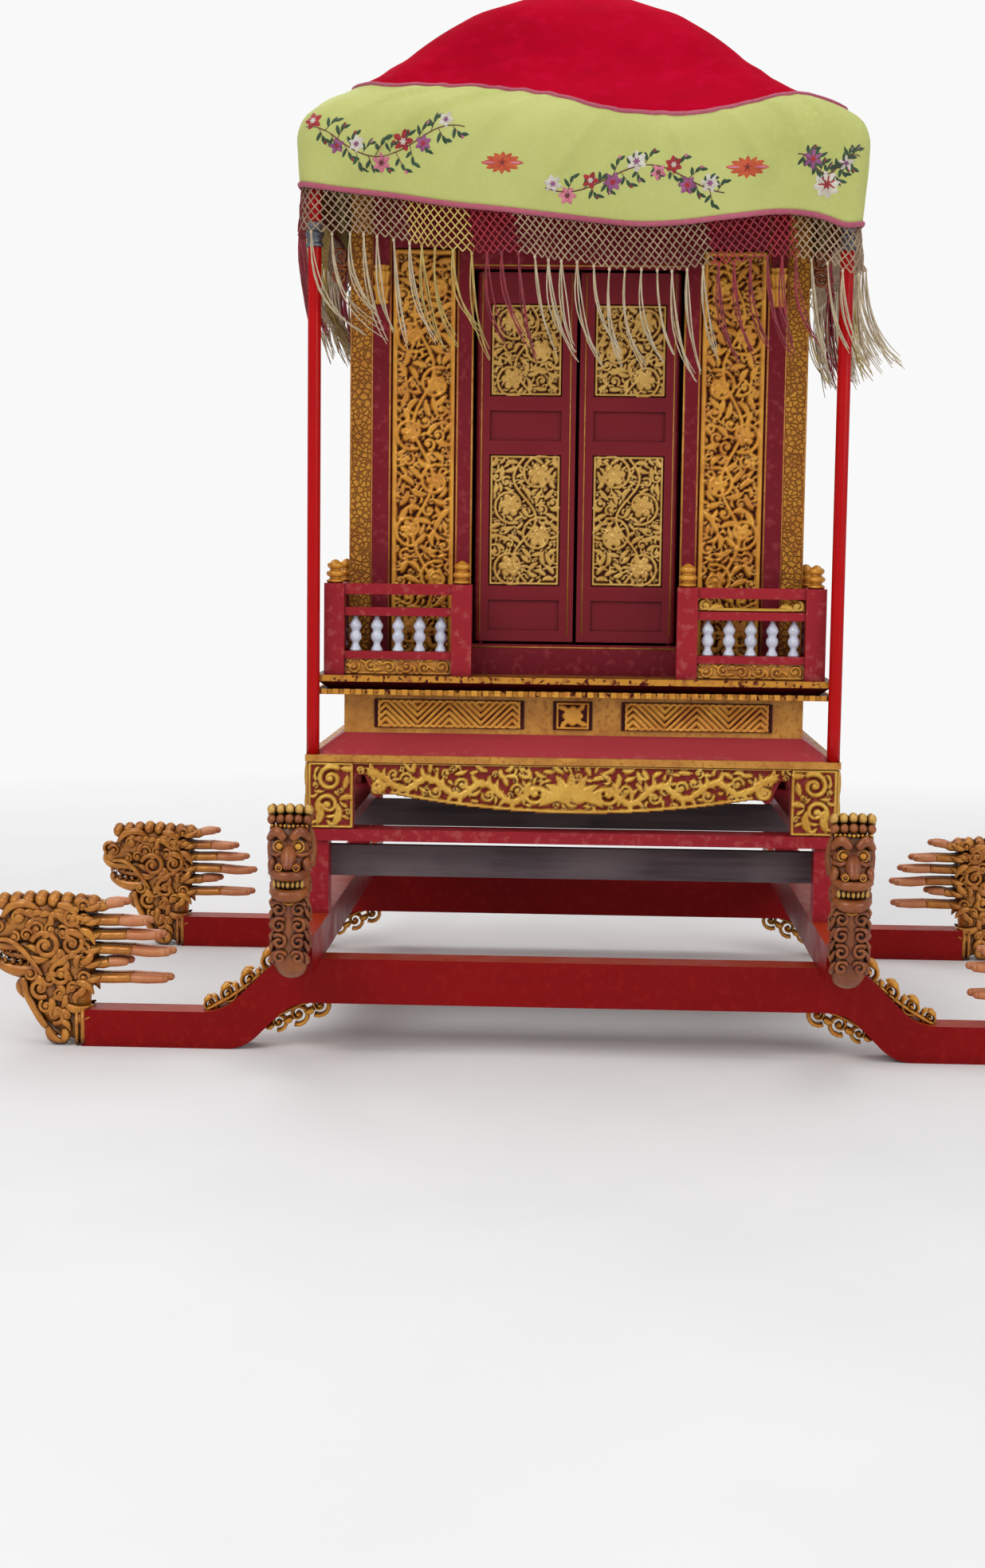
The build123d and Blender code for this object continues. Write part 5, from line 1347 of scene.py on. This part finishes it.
def runner_face():
    """Upright dragon face at the front end of a runner, looking forwards."""
    face, gold, teeth = Carved(), Carved(), Carved()

    def row(shape, path, radii, sides=10, flat=1.0):
        """Strand through points given as out, up and across."""
        points = [face_point(out, up, across) for out, up, across in path]
        sideways = abs(points[-1][0] - points[0][0]) > 0.02
        shape.strand(points, radii, sides, flat, (0, 0, 1) if sideways else (1, 0, 0))

    # Chest, neck, skull
    row(face, [(0.006, 0.010, 0), (0.022, 0.030, 0), (0.024, 0.080, 0), (0.026, 0.150, 0),
               (0.026, 0.215, 0), (0.018, 0.258, 0)], [0.018, 0.022, 0.022, 0.024, 0.023, 0.015], 18, 1.3)
    # Jaw and lips, then the snout over them
    for end, middle in (
        ((0.040, 0.140, 0.025, 0.008), (0.058, 0.135, 0.011, 0.0105)),
        ((0.040, 0.170, 0.028, 0.0065), (0.061, 0.167, 0.012, 0.0085)),
    ):
        lip = ((-1, end), (-1, middle), (1, middle), (1, end))
        row(face, [(out, up, side * across) for side, (out, up, across, r) in lip],
            [point[3] for side, point in lip])
    row(face, [(0.034, 0.212, 0), (0.050, 0.194, 0), (0.060, 0.180, 0)], [0.013, 0.013, 0.010], 14)
    face.ball(face_point(0.060, 0.183), (0.011, 0.0100, 0.0085), rings=8, sides=12)
    for side in (-1, 1):
        face.ball(face_point(0.058, 0.181, side * 0.013), (0.0078, 0.008, 0.0070), rings=7, sides=10)
        # Cheeks, brows, lower lids and ears
        face.ball(face_point(0.036, 0.180, side * 0.026), (0.009, 0.015, 0.016), rings=8, sides=12)
        for sides, *rows in (
            (10, (0.034, 0.222, 0.032, 0.0055), (0.050, 0.236, 0.019, 0.0085), (0.054, 0.224, 0.005, 0.006)),
            (8, (0.036, 0.201, 0.031, 0.003), (0.046, 0.198, 0.018, 0.0045), (0.048, 0.203, 0.008, 0.003)),
            (10, (0.010, 0.176, 0.027, 0.010), (0.004, 0.206, 0.031, 0.009), (0.010, 0.236, 0.030, 0.004)),
        ):
            row(face, [(out, up, side * across) for out, up, across, r in rows],
                [point[3] for point in rows], sides)
        # Carved chest: curls in mirrored pairs, and licks along the edge
        for up, across, size, begin, hand in (
            (0.112, 0.0155, 0.0125, 0.4, 1), (0.086, 0.0150, 0.0125, 2.4, -1),
            (0.060, 0.0150, 0.0120, 0.8, 1), (0.035, 0.0140, 0.0105, 2.8, -1),
        ):
            path, radii = [], []
            for t, run, rise, r in winding(begin, size, 1.3, 0.0036, 19, hand, 0.78, 1.1, 0.35):
                out = 0.0475 - 0.06 * abs(across) + 0.003 * t
                path.append(face_point(out, up + rise, side * (across + run)))
                radii.append(r)
            face.tube(path, radii, 7)
        for k in range(6):
            up = 0.024 + 0.018 * k
            row(face, [(0.026, up, side * 0.027), (0.038, up + 0.008, side * 0.028),
                       (0.040, up + 0.020, side * 0.022)], [0.004, 0.0048, 0.002], 8)
        # Gold eyes in rings, gold rims of the nostrils, and scrolls down the side
        gold.ball(face_point(0.047, 0.212, side * 0.0145), (0.0062, 0.0055, 0.0062), rings=7, sides=10)
        for out, up, tall, across, wide, count, thick, sides in (
            (0.0465, 0.212, 0.0088, 0.0145, 0.0092, 14, 0.0017, 6),
            (0.0655, 0.180, 0.0048, 0.0135, 0.0048, 10, 0.0012, 5),
        ):
            gold.tube([
                face_point(out, up + tall * sin(a), side * (across + wide * cos(a)))
                for a in (tau * k / count for k in range(count + 1))
            ], thick, sides)
        for up, size in ((0.056, 0.014), (0.100, 0.015), (0.146, 0.014), (0.200, 0.014), (0.236, 0.012)):
            path, radii = [], []
            for t, run, rise, r in winding(1.0, size, 1.25, 0.0034, 17):
                path.append(face_point(0.020 + run, up + rise, side * (0.0285 + 0.003 * t)))
                radii.append(r)
            face.tube(path, radii, 6)
    # Teeth: an even pale row between the lips
    for k in range(7):
        across = (k - 3) * 0.0072
        teeth.ball(face_point(0.060 - 0.28 * abs(across), 0.1535, across), (0.0033, 0.004, 0.0068),
                   rings=6, sides=8)
    # Crown of knobs over a beaded band
    for k in range(5):
        across = (k - 2) * 0.0145
        far = abs(across)
        for shape, out, up, place, size in (
            (teeth, 0.032 - 0.12 * far, 0.270 - 0.08 * far, across, (0.0078, 0.0110, 0.0088)),
            (face, 0.040 - 0.15 * far, 0.2545 - 0.06 * far, across * 0.96, (0.0080, 0.0095, 0.0080)),
            (face, 0.016, 0.262, across, (0.0085, 0.0120, 0.0140)),
        ):
            shape.ball(face_point(out, up, place), size, rings=7, sides=10)
    for k in range(9):
        across = (k - 4) * 0.0068
        gold.ball(face_point(0.046 - 0.2 * abs(across), 0.2435, across), (0.0030, 0.003, 0.0030),
                  rings=5, sides=8)
    collar = ((0.040, 0.124, -0.026), (0.052, 0.121, 0), (0.040, 0.124, 0.026))
    gold.tube([face_point(*point) for point in collar], 0.0024, 7)
    whole = Shape()
    for index, part in enumerate((face, gold, teeth)):
        start = len(whole.verts)
        whole.verts += part.verts
        whole.faces += [[c + start for c in f] for f in part.faces]
        whole.paints += [index] * len(part.faces)
    return whole


face_shape = runner_face()


def tail_shape():
    """Plume of flames at the rear end of a runner."""
    tail = Carved()

    def at(out, up, across=0.0):
        return (across, RUNNER_END + out, RUNNER_LOW + up)

    def lock(path, radii, flat=1.0):
        tail.strand([at(*p) for p in path], radii, 9, flat, (1, 0, 0))

    for across in (-0.016, 0.0, 0.016):
        lean = 1 - abs(across) * 6
        lock([(0.004, 0.030, across), (0.028, 0.050, across), (0.046 * lean + 0.002, 0.110, across),
              (0.046 * lean, 0.176, across), (0.026, 0.226 - abs(across), across * 0.8),
              (0.010, 0.214 - abs(across), across * 0.7)], [0.014, 0.016, 0.013, 0.011, 0.009, 0.0035])
    for side in (-1, 1):
        for up, out, size in (
            (0.050, 0.020, 0.017), (0.096, 0.034, 0.016), (0.142, 0.036, 0.015), (0.188, 0.034, 0.014),
        ):
            path, radii = [], []
            for t, run, rise, r in winding(2.0, size, 1.25, 0.004, 17):
                path.append(at(out + run, up + rise, side * (0.020 + 0.003 * t)))
                radii.append(r)
            tail.tube(path, radii, 6)
        lock([(0.020, 0.030, side * 0.014), (0.048, 0.060, side * 0.018), (0.062, 0.110, side * 0.014),
              (0.066, 0.138, side * 0.008)], [0.008, 0.008, 0.006, 0.002])
        lock([(0.040, 0.110, side * 0.012), (0.060, 0.150, side * 0.014), (0.064, 0.196, side * 0.008)],
             [0.008, 0.007, 0.002])
    return tail


plume = tail_shape()
for side, hand in (("left", -1), ("right", 1)):
    change = Matrix.Translation((hand * RUNNER_X, 0, 0))
    face_shape.piece(
        side + "_dragon_face_carved", [FACE_BROWN, GOLD, GOLD_PALE],
        replaces=[side + "_dragon_face"], slot="carved_lacquer", change=change,
    )
    plume.piece(
        side + "_tail_carved", TAIL_RED, replaces=[side + "_tail"], slot="red_lacquer", change=change,
    )

# Gilded scrolls over and under the bends of the beams
CURLS = (
    (0.4970, 0.1470, 0.0235, 2.4, 1), (0.5330, 0.1145, 0.0220, 2.2, 1), (0.5690, 0.0900, 0.0195, 2.0, 1),
    (0.5995, 0.0710, 0.0160, 1.8, 1), (0.4150, 0.0730, 0.0195, 5.2, -1), (0.4510, 0.0570, 0.0195, 5.0, -1),
    (0.4845, 0.0430, 0.0160, 4.8, -1),
)


def mirrored(side, angle):
    """An angle of the right side, turned over for the left."""
    return angle if side > 0 else pi - angle


for name, y in (("front_scrolls", -BEAM_Y), ("rear_scrolls", BEAM_Y)):
    scroll = Carved()
    for side in (-1, 1):
        for x, z, radius, start, hand in CURLS:
            scroll.spiral(side * x, y, z, mirrored(side, start), radius * 0.96, 1.35, radius * 0.21,
                          side * hand, wide=3.6, sides=10)
            angle = mirrored(side, 2.0 if hand > 0 else -0.9)
            for face in (-1, 1):
                scroll.flame(side * (x + 0.5 * radius), y + face * 0.011, z + 0.3 * hand * radius,
                             angle, radius * 0.9, radius * 0.26, side * 0.6, 1.4)
        for group in (CURLS[:4], CURLS[4:]):
            line = [
                (side * (x + 0.35 * radius), y, z - 0.62 * hand * radius)
                for x, z, radius, start, hand in group
            ]
            scroll.strand(line, [0.0045] * len(line), 10, 3.2)
    scroll.piece(name + "_carved", GOLD, replaces=[name], slot="gilt_wood")


# Turned work

def turned(profile, places, sides, radius, petals=0, notch=0.0):
    """Copies of one turned shape: rows of height and radius, with petals cut round it where asked."""
    shape = Shape()
    for x, y in places:
        rows = []
        for z, share in profile:
            row = []
            for a in circle(sides):
                r = share * radius * (1 - notch * (0.5 - 0.5 * cos(petals * a)))
                row.append((x + r * cos(a), y + r * sin(a), z))
            rows.append(row)
        shape.closed(rows)
    return shape


def heights(low, high, shares):
    """Rows of height and radius from eased shares of both."""
    line = smooth_line(shares)
    return [(low + (high - low) * k / 26, float(line(k / 26))) for k in range(27)]


# Balusters: five in each front and rear bay, four in each side bay, nine in the rear gate
RAIL_X, RAIL_Y = 0.405, 0.363
baluster_places = []
for sx in (-1, 1):
    for y in (-RAIL_Y, RAIL_Y):
        baluster_places += [(sx * (BAY_X + 0.0362 * (k - 2)), y) for k in range(5)]
    for bay in range(4):
        baluster_places += [(sx * RAIL_X, (bay - 1.5) * SIDE_BAY + 0.0369 * (k - 1.5)) for k in range(4)]
baluster_places += [(0.0384 * (k - 4), RAIL_Y) for k in range(9)]
newel_places = [(sx * x, sy * RAIL_Y) for sx in (-1, 1) for sy in (-1, 1) for x in (RAIL_X, 0.190)]
newel_places += [(sx * RAIL_X, y) for sx in (-1, 1) for y in (-SIDE_BAY, 0.0, SIDE_BAY)]
pole_places = [(sx * POLE_X, sy * POLE_Y) for sx in (-1, 1) for sy in (-1, 1)]
# Profiles from foot to top: share of the height, share of the radius
BALUSTER = (
    (0.0, 0.98), (0.05, 0.94), (0.12, 0.74), (0.19, 0.54), (0.24, 0.56), (0.32, 0.88), (0.41, 1.0),
    (0.5, 0.86), (0.56, 0.64), (0.61, 0.76), (0.69, 1.0), (0.77, 0.9), (0.85, 0.64), (0.92, 0.44),
    (1.0, 0.34),
)
FINIAL = (
    (0.0, 0.84), (0.06, 0.98), (0.13, 0.94), (0.19, 0.66), (0.24, 0.62), (0.31, 0.9), (0.4, 1.0),
    (0.49, 0.9), (0.54, 0.62), (0.59, 0.6), (0.66, 0.82), (0.75, 0.9), (0.84, 0.78), (0.9, 0.5),
    (0.96, 0.34), (1.0, 0.08),
)
CAPITAL = (
    (0.0, 0.6), (0.06, 0.86), (0.12, 0.7), (0.2, 0.74), (0.34, 0.86), (0.46, 1.0), (0.52, 0.78),
    (0.58, 0.82), (0.72, 0.94), (0.84, 1.0), (0.9, 0.8), (0.95, 0.96), (1.0, 0.96),
)
CAP = (
    (0.0, 0.84), (0.05, 0.94), (0.12, 0.9), (0.18, 0.72), (0.26, 0.72), (0.38, 0.82), (0.46, 1.0),
    (0.56, 1.0), (0.64, 0.82), (0.78, 0.74), (0.86, 0.8), (0.93, 0.94), (1.0, 0.86),
)
for name, node, slot, paint, profile, low, high, places, form in (
    ("balusters_turned", "balusters", "white_paint", WHITE, BALUSTER, 0.661, 0.721,
     baluster_places, (12, 0.0104)),
    ("finials_turned", "finials", "gilt_wood", GOLD, FINIAL, 0.775, 0.815, newel_places, (20, 0.015)),
    ("capitals_carved", "capitals", "carved_lacquer", GOLD, CAPITAL, 1.245, 1.310,
     [(sx * 0.3345, -0.3035) for sx in (-1, 1)], (40, 0.0165, 10, 0.16)),
    ("pole_caps_cast", "pole_caps", "grey_metal", GREY, CAP, 1.328, 1.368, pole_places, (28, 0.0158)),
):
    turned(heights(low, high, profile), places, *form).piece(name, paint, replaces=[node], slot=slot)

# Corner brackets at the top of the porch: two scrolls, a stem and two licks each
BRACKET_Y = -0.2962
brackets = Carved()
for side in (-1, 1):
    for x, z, size, start, hand in ((0.4055, 1.326, 0.0185, 3.4, 1), (0.4060, 1.292, 0.0150, 2.4, -1)):
        brackets.spiral(side * x, BRACKET_Y, z, mirrored(side, start), size, 1.4, 0.0037, side * hand,
                        wide=1.5, sides=8)
    brackets.strand(
        [(side * x, -0.296, z) for x, z in ((0.388, 1.345), (0.392, 1.312), (0.389, 1.278))],
        [0.0032, 0.0042, 0.0022], 8, 1.3,
    )
    for z, angle in ((1.312, 0.9), (1.300, -0.9)):
        brackets.flame(side * 0.398, BRACKET_Y, z, mirrored(side, angle), 0.026, 0.0048, side * 0.7, 0.8)
brackets.piece("corner_scrolls_carved", FACE_BROWN, replaces=["corner_scrolls"], slot="carved_lacquer")

# Thin gilt beads that frame the doorway and the tall panels, and borders of the doors
BEAD_Y, BORDER_Y, DOORWAY_X = -0.3046, -0.2990, 0.1795
beads = Shape()
for sx in (-1, 1):
    for x, y, low, high, radius, sides in (
        (DOORWAY_X, BEAD_Y, 0.668, 1.312, 0.0019, 6), (0.2045, BEAD_Y, 0.648, 1.336, 0.0015, 6),
        (0.3195, BEAD_Y, 0.648, 1.424, 0.0015, 6), (0.3500, BEAD_Y, 0.648, 1.424, 0.0015, 6),
        (0.3860, -0.3040, 0.648, 1.424, 0.0016, 6),
        (0.0125, BORDER_Y, 0.690, 1.300, 0.0011, 5), (0.163, BORDER_Y, 0.690, 1.300, 0.0011, 5),
    ):
        beads.tube([(sx * x, y, low), (sx * x, y, high)], radius, sides)
for z, radius in ((1.3120, 0.0019), (0.6680, 0.0015)):
    beads.tube([(-DOORWAY_X, BEAD_Y, z), (DOORWAY_X, BEAD_Y, z)], radius, 6)
beads.piece("gilt_beads", GOLD_DULL, slot="gilt_wood")

# Dentils under the deck: small blocks along each side of the cornice
DENTIL_LOW, DENTIL_HIGH = 0.5885, 0.5975
dentils = Shape()
for count, half, side_x, side_y in (
    (44, 0.430, 0, -0.3895), (44, 0.430, 0, 0.3895), (40, 0.388, 0.4315, 0), (40, 0.388, -0.4315, 0),
):
    for k in range(count):
        step = -half + 2 * half * (k + 0.5) / count
        x, y, dx, dy = (step, side_y, 0.0048, 0.0032) if side_y else (side_x, step, 0.0032, 0.0048)
        start = len(dentils.verts)
        for z in (DENTIL_LOW, DENTIL_HIGH):
            dentils.verts += [
                (x - dx, y - dy, z), (x + dx, y - dy, z), (x + dx, y + dy, z), (x - dx, y + dy, z),
            ]
        for corners in ((3, 2, 1, 0), (4, 5, 6, 7), (0, 1, 5, 4), (1, 2, 6, 5), (2, 3, 7, 6), (3, 0, 4, 7)):
            dentils.face([start + c for c in corners])
dentils.piece("cornice_dentils", GOLD, slot="gilt_wood", smooth=False)


# Embroidery on the band: silk sprigs with stems, leaves and open flowers

def on_band(x, z, lift):
    """Point on the front of the band at x and height z."""
    s = (x / float(share_at(z - CANOPY_Z)) + HALF_X - CORNER) / PERIMETER
    edges = (seam_height(s) - CANOPY_Z, hem_height(s) - CANOPY_Z, z - CANOPY_Z)
    top, low, here = np.interp(edges, climb, travel)
    return band_point(s, min(0.99, max(0.01, (here - top) / (low - top))), lift)


def petal(shape, x, z, angle, length, wide, paint, lift=0.0012):
    """Raised satin-stitch petal or leaf, from its root."""
    shape.paint = paint
    rows = []
    for i in range(7):
        t = i / 6
        half = wide * sin(pi * (0.1 + 0.86 * t)) ** 0.8
        px, pz = x + length * t * cos(angle), z + length * t * sin(angle)
        rows.append([
            on_band(px - sin(angle) * half * c, pz + cos(angle) * half * c, 0.0006 + lift * (1 - c * c))
            for c in (-1.0, -0.5, 0.0, 0.5, 1.0)
        ])
    shape.grid(rows)


def sprig(shape, x, z, angle, size, petals, paint, heart):
    """Flower of petals round a heart."""
    for k in range(petals):
        turn = angle + tau * k / petals
        petal(shape, x, z, turn, size, size * 0.36, paint, 0.0014)
    for k in range(6):
        turn = tau * k / 6
        petal(shape, x, z, turn, size * 0.36, size * 0.14, heart, 0.0024)


SILKS = [
    thread("silk_mauve", rgb(168, 92, 142), rgb(126, 60, 108)),
    thread("silk_pink", rgb(226, 140, 156), rgb(196, 96, 120)),
    thread("silk_white", rgb(228, 222, 208), rgb(196, 186, 168)),
    thread("silk_red", rgb(188, 34, 44), rgb(140, 18, 28)),
    thread("silk_green", rgb(52, 84, 50), rgb(30, 56, 36)),
    thread("silk_brown", rgb(120, 54, 40), rgb(88, 34, 28)),
    thread("silk_orange", rgb(214, 96, 48), rgb(176, 62, 32)),
]
MAUVE, PINK, PALE, RED, GREEN, BROWN, ORANGE = range(7)


def spray(shape, low_x, high_x, low_z, high_z, seed, flowers):
    """Branch across a field of the band, with side twigs, leaves, buds and flowers."""
    dice = random.Random(seed)
    mid_z, tall = (low_z + high_z) / 2, high_z - low_z
    phase = dice.uniform(0, 6.3)
    stem = []
    for k in range(25):
        t = k / 24
        stem.append((low_x + (high_x - low_x) * t, mid_z + 0.26 * tall * sin(tau * 1.1 * t + phase)))
    shape.paint = BROWN
    shape.tube([on_band(x, z, 0.0008) for x, z in stem], 0.0011, 5)
    for k in range(2, 24):
        x, z = stem[k]
        side = 1 if k % 2 else -1
        angle = side * dice.uniform(0.7, 1.3)
        reach = dice.uniform(0.18, 0.34) * tall
        tip = (x + reach * cos(angle), z + reach * sin(angle))
        if low_z < tip[1] < high_z and low_x < tip[0] < high_x:
            run, rise = tip[0] - x, tip[1] - z
            shape.paint = BROWN
            twig = [on_band(x + run * t, z + rise * t, 0.0007) for t in (0, 0.35, 0.7, 1)]
            shape.tube(twig, 0.0008, 4)
            for j in range(3):
                t = 0.35 + 0.3 * j
                turn = angle + side * (0.9 - 0.8 * j)
                petal(shape, x + run * t, z + rise * t, turn, dice.uniform(0.011, 0.016), 0.0033, GREEN)
            if dice.random() < 0.45:
                petal(shape, *tip, angle, 0.007, 0.003, dice.choice((PINK, RED)))
    for k in range(flowers):
        t = (k + 0.5 + dice.uniform(-0.2, 0.2)) / flowers
        x, z = stem[int(t * 24)]
        z = min(high_z - 0.014, max(low_z + 0.014, z + (-1) ** k * 0.12 * tall))
        turn = dice.uniform(0, 6.3)
        size = dice.uniform(0.0125, 0.017)
        petals = dice.choice((5, 6))
        paint, heart = ((MAUVE, RED), (PALE, MAUVE), (PINK, BROWN), (RED, PALE))[(k + seed) % 4]
        sprig(shape, x, z, turn, size, petals, paint, heart)


embroidery = Shape()
for field in (
    (-0.450, -0.190, 1.445, 1.540, 3, 7), (-0.052, 0.238, 1.396, 1.478, 5, 9),
    (0.352, 0.452, 1.432, 1.492, 8, 2),
):
    spray(embroidery, *field)
# Small orange emblems between the sprays
for x, z in ((-0.124, 1.461), (0.272, 1.456)):
    for side in (-1, 1):
        turn = 0 if side > 0 else pi
        for angle, length in ((0.0, 0.034), (0.32, 0.027), (-0.32, 0.027), (0.8, 0.020), (-0.8, 0.020)):
            petal(embroidery, x, z, turn + side * angle, length, 0.0052, ORANGE)
        petal(embroidery, x + side * 0.012, z, turn, 0.020, 0.0026, PINK, 0.0022)
    for angle in (pi / 2, -pi / 2):
        petal(embroidery, x, z, angle, 0.017, 0.0056, ORANGE)
    sprig(embroidery, x, z, 0.3, 0.008, 5, RED, BROWN)
sprig(embroidery, 0.402, 1.430, 0.2, 0.022, 8, PALE, RED)
sprig(embroidery, 0.402, 1.430, 0.5, 0.015, 7, RED, RED)
embroidery_piece = embroidery.piece("valance_embroidery", SILKS, slot="pale_green_cloth")


# Stage

def stage_set():
    """Pale floor and backdrop in one sweep, and soft light from large lamps."""
    # Floor, a quarter of a circle up to the wall, and the wall
    bend, bend_start, half_wide, steps = 1.6, 4.5, 12.0, 14
    profile = [(-9.0, 0.0)] + [
        (bend_start + bend * sin(i / steps * pi / 2), bend - bend * cos(i / steps * pi / 2))
        for i in range(steps + 1)
    ] + [(bend_start + bend, 9.0)]
    verts = [(x, y, z) for y, z in profile for x in (-half_wide, half_wide)]
    faces = [(2 * i, 2 * i + 1, 2 * i + 3, 2 * i + 2) for i in range(len(profile) - 1)]
    mesh = bpy.data.meshes.new("floor")
    mesh.from_pydata(verts, [], faces)
    mesh.polygons.foreach_set("use_smooth", [True] * len(faces))
    floor = bpy.data.objects.new("floor", mesh)
    bpy.context.scene.collection.objects.link(floor)
    paint = Paint("pale_floor", 0.9)
    cloudy = paint.reach(paint.noise(2.5, 3), 0.3, 0.7)
    paint.color(paint.mix(cloudy, rgb(234, 233, 231), rgb(229, 228, 227)))
    # Away from the object the camera sees plain white; no ray that lights the object does
    far = paint.node("VectorMath", "Value", {0: paint.place}, operation="LENGTH")
    seen = paint.node("LightPath", "Is Camera Ray")
    white = paint.node("Emission", 0, {"Color": (0.95, 0.95, 0.95, 1.0)})
    blend = paint.node("MixShader", 0, {
        0: paint.times(paint.reach(far, 1.4, 4.2), seen), 1: paint.shader.outputs[0], 2: white,
    })
    paint.link(blend, paint.tree.nodes["Material Output"].inputs["Surface"])
    mesh.materials.append(paint.material)

    world = bpy.data.worlds.new("studio")
    world.use_nodes = True
    background = world.node_tree.nodes["Background"]
    background.inputs["Color"].default_value = (0.93, 0.95, 1.0, 1.0)
    background.inputs["Strength"].default_value = 0.5
    bpy.context.scene.world = world

    for name, place, size, power in (
        ("key", (-2.6, -4.2, 4.4), 3.2, 130.0),
        ("fill", (3.6, -3.4, 2.6), 3.0, 64.0),
        ("top", (0.4, 0.6, 5.2), 4.0, 84.0),
        ("rear", (-1.5, 3.6, 3.4), 2.5, 44.0),
    ):
        data = bpy.data.lights.new(name, "AREA")
        data.shape = "SQUARE"
        data.size = size
        data.energy = power
        lamp = bpy.data.objects.new(name, data)
        bpy.context.scene.collection.objects.link(lamp)
        aim = Vector((0, 0, 0.9)) - Vector(place)
        lamp.matrix_world = Matrix.Translation(place) @ aim.to_track_quat("-Z", "Y").to_matrix().to_4x4()


stage_set()
bpy.context.scene.view_settings.view_transform = "Standard"
